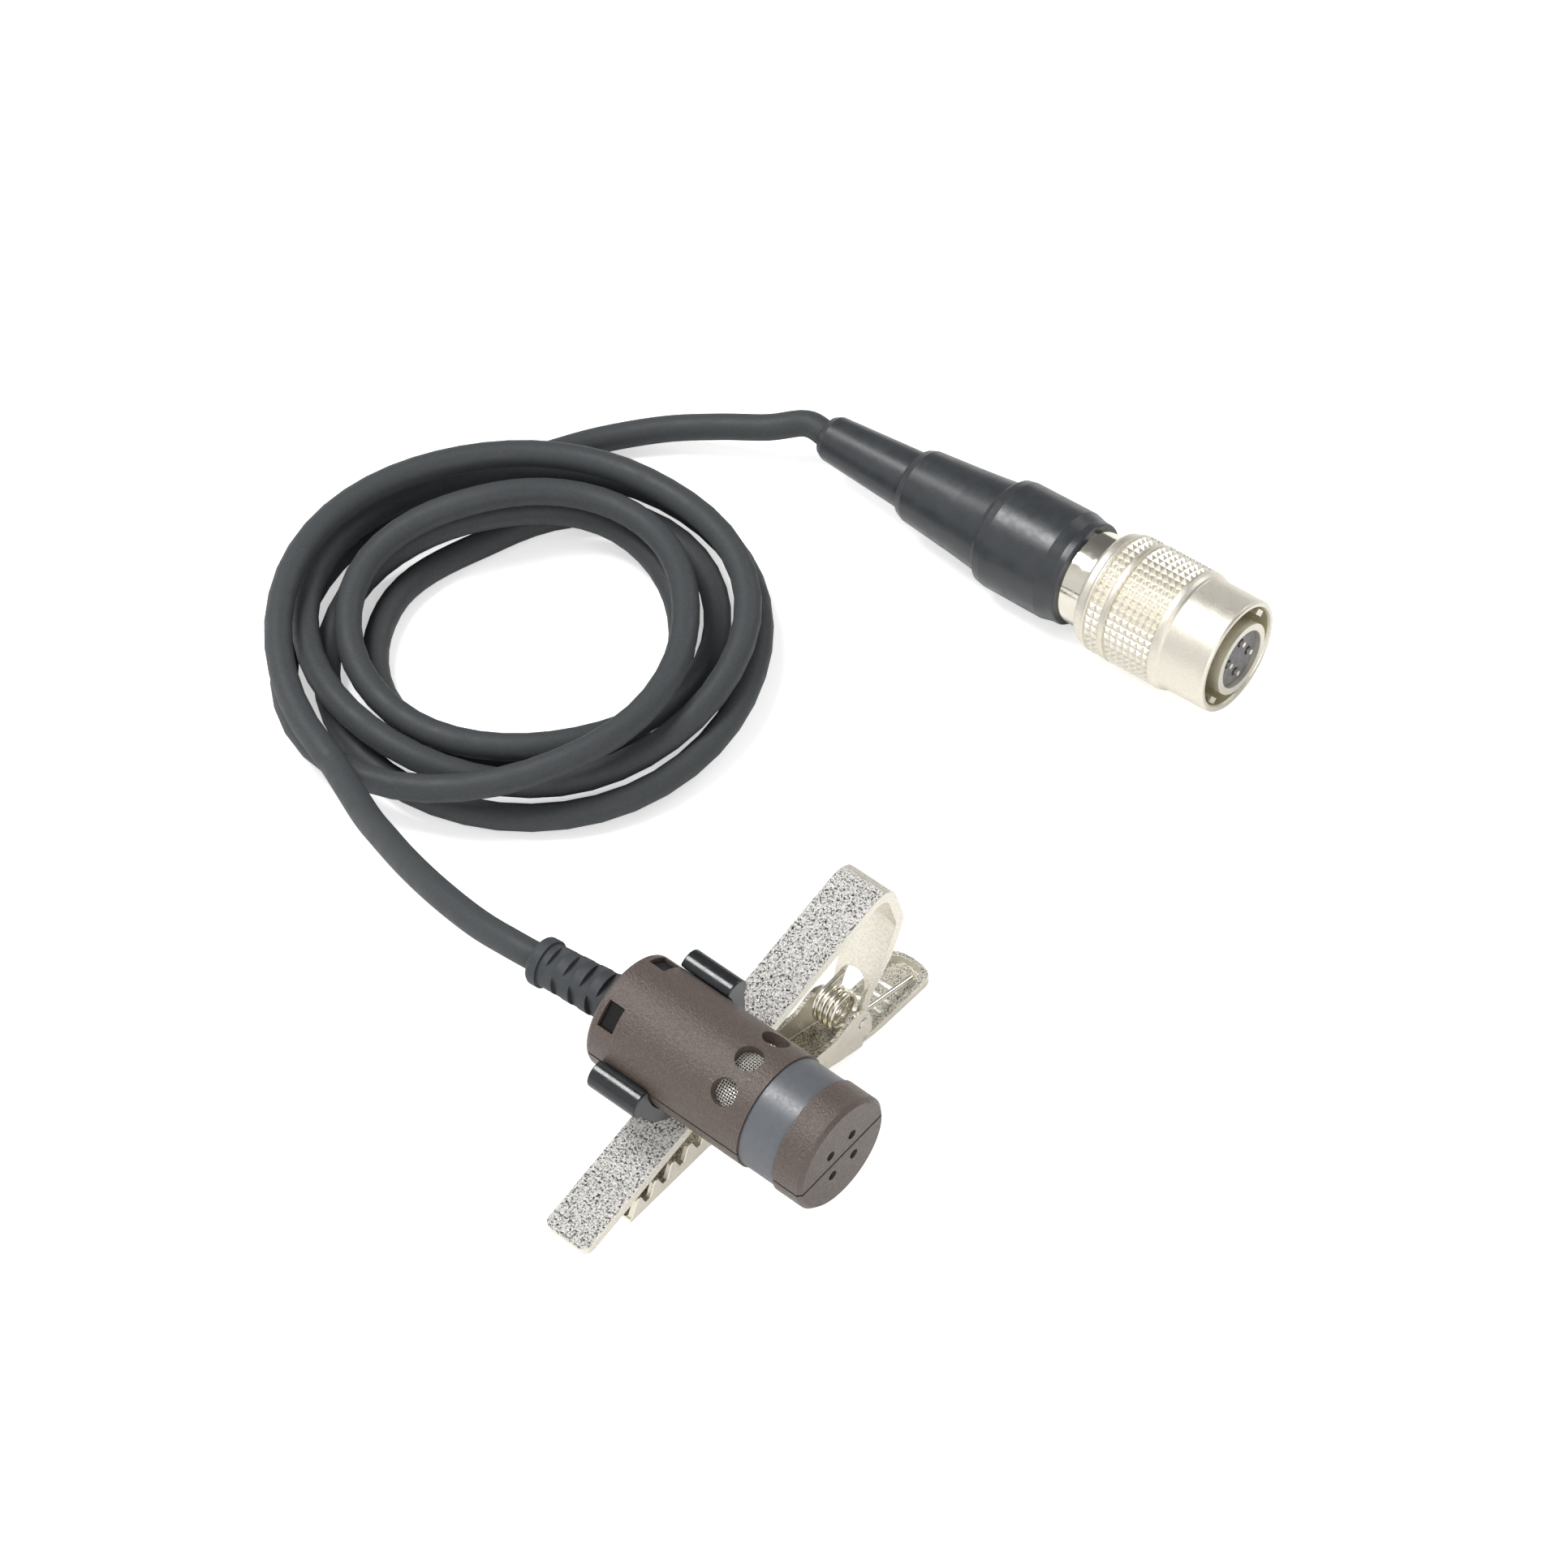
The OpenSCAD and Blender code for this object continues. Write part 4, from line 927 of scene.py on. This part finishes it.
class LAVALIER_OT_clip(bpy.types.Operator):
    """Finish the holder and the clip, and add the ribs of the thumb pad"""

    bl_idname = "lavalier.clip"
    bl_label = "Clip"

    def execute(self, context):
        clip = context.scene.lavalier_clip
        dress({"holder_rivet": "clip_nickel"})
        soften("clip_holder", "holder_black", HOLDER_EDGE)
        soften("clip_top_jaw", "frosted_nickel", clip.edge)
        soften("clip_lower_jaw", "lower_jaw_nickel", clip.edge)

        tree = Tree("thumb_ribs", {
            "Count": clip.ribs, "Pitch": RIB_PITCH, "Width": RIB_WIDTH,
            "Half height": RIB_HALF_HEIGHT, "Half depth": RIB_HALF_DEPTH,
        })
        _, count, pitch, width, half_height, half_depth = tree.given()
        ball = tree.make("GeometryNodeMeshUVSphere", {"Segments": 24, "Rings": 12, "Radius": 1.0})
        # Squares the ball's ends off along X, so that a rib is as thick at its ends as in its middle
        x, y, z = tree.add("ShaderNodeSeparateXYZ", {0: tree.make("GeometryNodeInputPosition")}).outputs
        blunt = tree.math("POWER", tree.math("ABSOLUTE", x), RIB_END_POWER)
        rib = tree.moved(ball, tree.vector(tree.math("MULTIPLY", tree.math("SIGN", x), blunt), y, z))
        step = tree.math("MULTIPLY", tree.make("GeometryNodeInputIndex"), pitch)
        scale = tree.vector(tree.math("DIVIDE", width, 2.0), half_depth, half_height)
        ribs = tree.repeat(rib, count, tree.vector(0.0, step, 0.0), Scale=scale)
        mesh = tree.grow(bpy.data.meshes.new("thumb_rib_base"), [ribs], "rib_frost")
        mesh.transform(PART @ Matrix.Translation((CLIP_MID, FIRST_RIB_Y, RIB_Z)))
        settle("thumb_ribs", mesh, "rib_frost", "lower_jaw")
        return {"FINISHED"}


def clip_spring_line(curls):
    """Centre line of the clip's spring: the leg on the thumb pad, the curls and the other leg."""
    start = PAD_LEG_ANGLE - 90
    sweep = start - JAW_LEG_ANGLE - 90 + 360 * curls
    steps = round(sweep / CURL_STEP)

    def curl(i):
        a = math.radians(start - sweep * i / steps)
        x = FIRST_CURL_X - CURL_PITCH * sweep * i / steps / 360
        return Vector((x, CURL_Y + CURL_R * math.cos(a), CURL_Z + CURL_R * math.sin(a)))

    def leg(corner, length, degrees, shares):
        a = math.radians(degrees)
        return [corner + length * share * Vector((0, math.cos(a), math.sin(a))) for share in shares]

    line = [curl(i) for i in range(steps + 1)]
    inward = [k / PAD_LEG_PIECES for k in range(PAD_LEG_PIECES, 0, -1)]
    pad_leg = leg(line[0], PAD_LEG, PAD_LEG_ANGLE, inward)
    return pad_leg + line + leg(line[-1], JAW_LEG, JAW_LEG_ANGLE, (0.33, 0.66, 1))


def plug_spring_line():
    """Centre line of the spring under the coupling sleeve."""
    first, last = SHOULDER_X - SEAT_GAP, SEAT_X + SEAT_GAP
    count = PLUG_SPRING_TURNS * PLUG_SPRING_STEPS
    line = []
    for i in range(count + 1):
        a = i * math.pi / (PLUG_SPRING_STEPS / 2)
        x = first + (last - first) * i / count
        line.append(Vector((x, PLUG_SPRING_R * math.cos(a), PLUG_SPRING_R * math.sin(a))))
    return line


class LAVALIER_OT_springs(bpy.types.Operator):
    """Add the clip's spring and the spring under the coupling sleeve"""

    bl_idname = "lavalier.springs"
    bl_label = "Springs"

    def execute(self, context):
        clip = context.scene.lavalier_clip
        bm = bmesh.new()
        add_tube(bm, clip_spring_line(clip.curls), clip.wire / MM / 2, sides=12)
        spring = new_piece("clip_coil_spring", bm, PART, "spring_steel", None, ("clip_spring",))
        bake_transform(spring)

        bm = bmesh.new()
        add_tube(bm, plug_spring_line(), PLUG_SPRING_WIRE_R, sides=10)
        spring = new_piece("coupling_spring", bm, PLUG, "spring_steel", "microphone", ("sleeve_spring",))
        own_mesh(spring)
        return {"FINISHED"}


# Plug

PLUG_FINISHES = {
    "plug_boot": "boot_rubber",
    "back_shell": "plug_polished",
    "cable_clamp": "capsule_metal",
    "plug_wires": "wire_red",
    "plug_barrel": "plug_satin",
    "plug_insulator": "insulator_grey",
    "contact_pins": "contact_silver",
    "lock_claws": "plug_satin",
}
# Outlines of the sleeve as (radius, x) pairs, from its front rim to its rear rim and back through its bore
SLEEVE_OUTSIDE = [
    (4.82, -0.25), (4.95, 0), (5.3, 0), (5.45, -0.18), (5.45, -4.75), (5.66, -4.9), (5.76, -5.2),
    (5.8, -5.45), (5.8, -5.72), (5.5, -5.8), (5.5, -10.62), (5.8, -10.69), (5.8, -10.78), (5.6, -10.86),
    (5.6, -11.26), (5.5, -11.34), (5.5, -12.76), (5.75, -12.84), (5.75, -13.02), (5.5, -13.2),
    (5.48, -13.8), (5.35, -14.05), (5, -14.22), (4.65, -14.3), (4.56, -14.3),
]
SLEEVE_INSIDE = [
    (4.56, -14.3), (4.56, -13.5), (4.9, -13.5), (4.9, SHOULDER_X), (3.55, SHOULDER_X), (3.55, -6.2),
    (4.8, -6.2), (4.82, -0.25),
]
OUTSIDE_EDGE, INSIDE_EDGE = 0.12, 0.08
# The gripping bands: radius at the foot of the points, and the first column of each band
GRIP_R, FRONT_BAND_X, REAR_BAND_X = 5.49, -6.1, -11.7
# A point's foot as a share of the pitch, and the radius of its blunt tip
FOOT_SHARE, TIP_R = 0.68, 0.09


class LAVALIER_OT_plug(bpy.types.Operator):
    """Finish the plug"""

    bl_idname = "lavalier.plug"
    bl_label = "Plug"

    def execute(self, context):
        dress(PLUG_FINISHES)
        return {"FINISHED"}


class LAVALIER_OT_sleeve(bpy.types.Operator):
    """Add the coupling sleeve with its gripping bands"""

    bl_idname = "lavalier.sleeve"
    bl_label = "Coupling Sleeve"

    def execute(self, context):
        sizes = context.scene.lavalier_plug
        tree = Tree("grip_points", {
            "Around": sizes.around, "Front columns": sizes.front, "Rear columns": sizes.rear,
            "Pitch": sizes.pitch / MM, "Height": sizes.height / MM, "Radius": GRIP_R,
        })
        body, around, front, rear, pitch, height, radius = tree.given()
        calc = tree.math
        index = tree.make("GeometryNodeInputIndex")
        angle = calc("MULTIPLY", calc("MODULO", index, around), calc("DIVIDE", 2 * math.pi, around))
        column = calc("FLOOR", calc("DIVIDE", calc("ADD", index, 0.5), around))
        pyramid = tree.make("GeometryNodeMeshCone", {
            "Vertices": 4, "Side Segments": 1, "Radius Top": TIP_R,
            "Radius Bottom": calc("MULTIPLY", pitch, FOOT_SHARE), "Depth": height,
        })
        square_on = (0, 0, math.pi / 4)
        point = tree.make("GeometryNodeTransform", {"Geometry": pyramid, "Rotation": square_on})
        bands = []
        for columns, first in ((front, FRONT_BAND_X), (rear, REAR_BAND_X)):
            x = calc("SUBTRACT", first, calc("MULTIPLY", column, pitch))
            bands.append(tree.round_axis(point, calc("MULTIPLY", around, columns), x, radius, angle))

        bm = bmesh.new()
        add_turned(bm, rounded(SLEEVE_OUTSIDE, OUTSIDE_EDGE), sides=160)
        mesh = tree.grow(to_mesh("sleeve_base", bm), [body, *bands], "plug_satin")
        mesh.transform(PLUG)
        settle("coupling_sleeve_grip", mesh, "plug_satin", "coupling", ("coupling_sleeve",), sharp=25)
        bm = bmesh.new()
        add_turned(bm, rounded(SLEEVE_INSIDE, INSIDE_EDGE), sides=120)
        new_piece("coupling_sleeve_bore", bm, PLUG, "plug_bore", "coupling", sharp=40)
        return {"FINISHED"}


class LAVALIER_PT_panel(bpy.types.Panel):
    """Sizes, colours and pieces of the microphone"""

    bl_idname = "LAVALIER_PT_panel"
    bl_label = "Lavalier Microphone"
    bl_space_type = "VIEW_3D"
    bl_region_type = "UI"
    bl_category = "Lavalier"

    def draw(self, context):
        for operator in OPERATORS:
            self.layout.operator(operator.bl_idname)
        for group, name in GROUPS.items():
            box = self.layout.box()
            for setting in group.__annotations__:
                box.prop(getattr(context.scene, name), setting)


GROUPS = {
    LavalierColours: "lavalier_colours",
    LavalierCord: "lavalier_cord",
    LavalierPlug: "lavalier_plug",
    LavalierMesh: "lavalier_mesh",
    LavalierClip: "lavalier_clip",
}
OPERATORS = (
    LAVALIER_OT_stage,
    LAVALIER_OT_cord,
    LAVALIER_OT_barrel,
    LAVALIER_OT_port_mesh,
    LAVALIER_OT_clip,
    LAVALIER_OT_springs,
    LAVALIER_OT_plug,
    LAVALIER_OT_sleeve,
)


def register():
    for cls in (*GROUPS, *OPERATORS, LAVALIER_PT_panel):
        bpy.utils.register_class(cls)
    for group, name in GROUPS.items():
        setattr(bpy.types.Scene, name, bpy.props.PointerProperty(type=group))


def unregister():
    for name in GROUPS.values():
        delattr(bpy.types.Scene, name)
    for cls in reversed((*GROUPS, *OPERATORS, LAVALIER_PT_panel)):
        bpy.utils.unregister_class(cls)


def main():
    register()
    for operator in OPERATORS:
        getattr(bpy.ops.lavalier, operator.bl_idname.split(".")[1])()


if __name__ == "__main__":
    main()
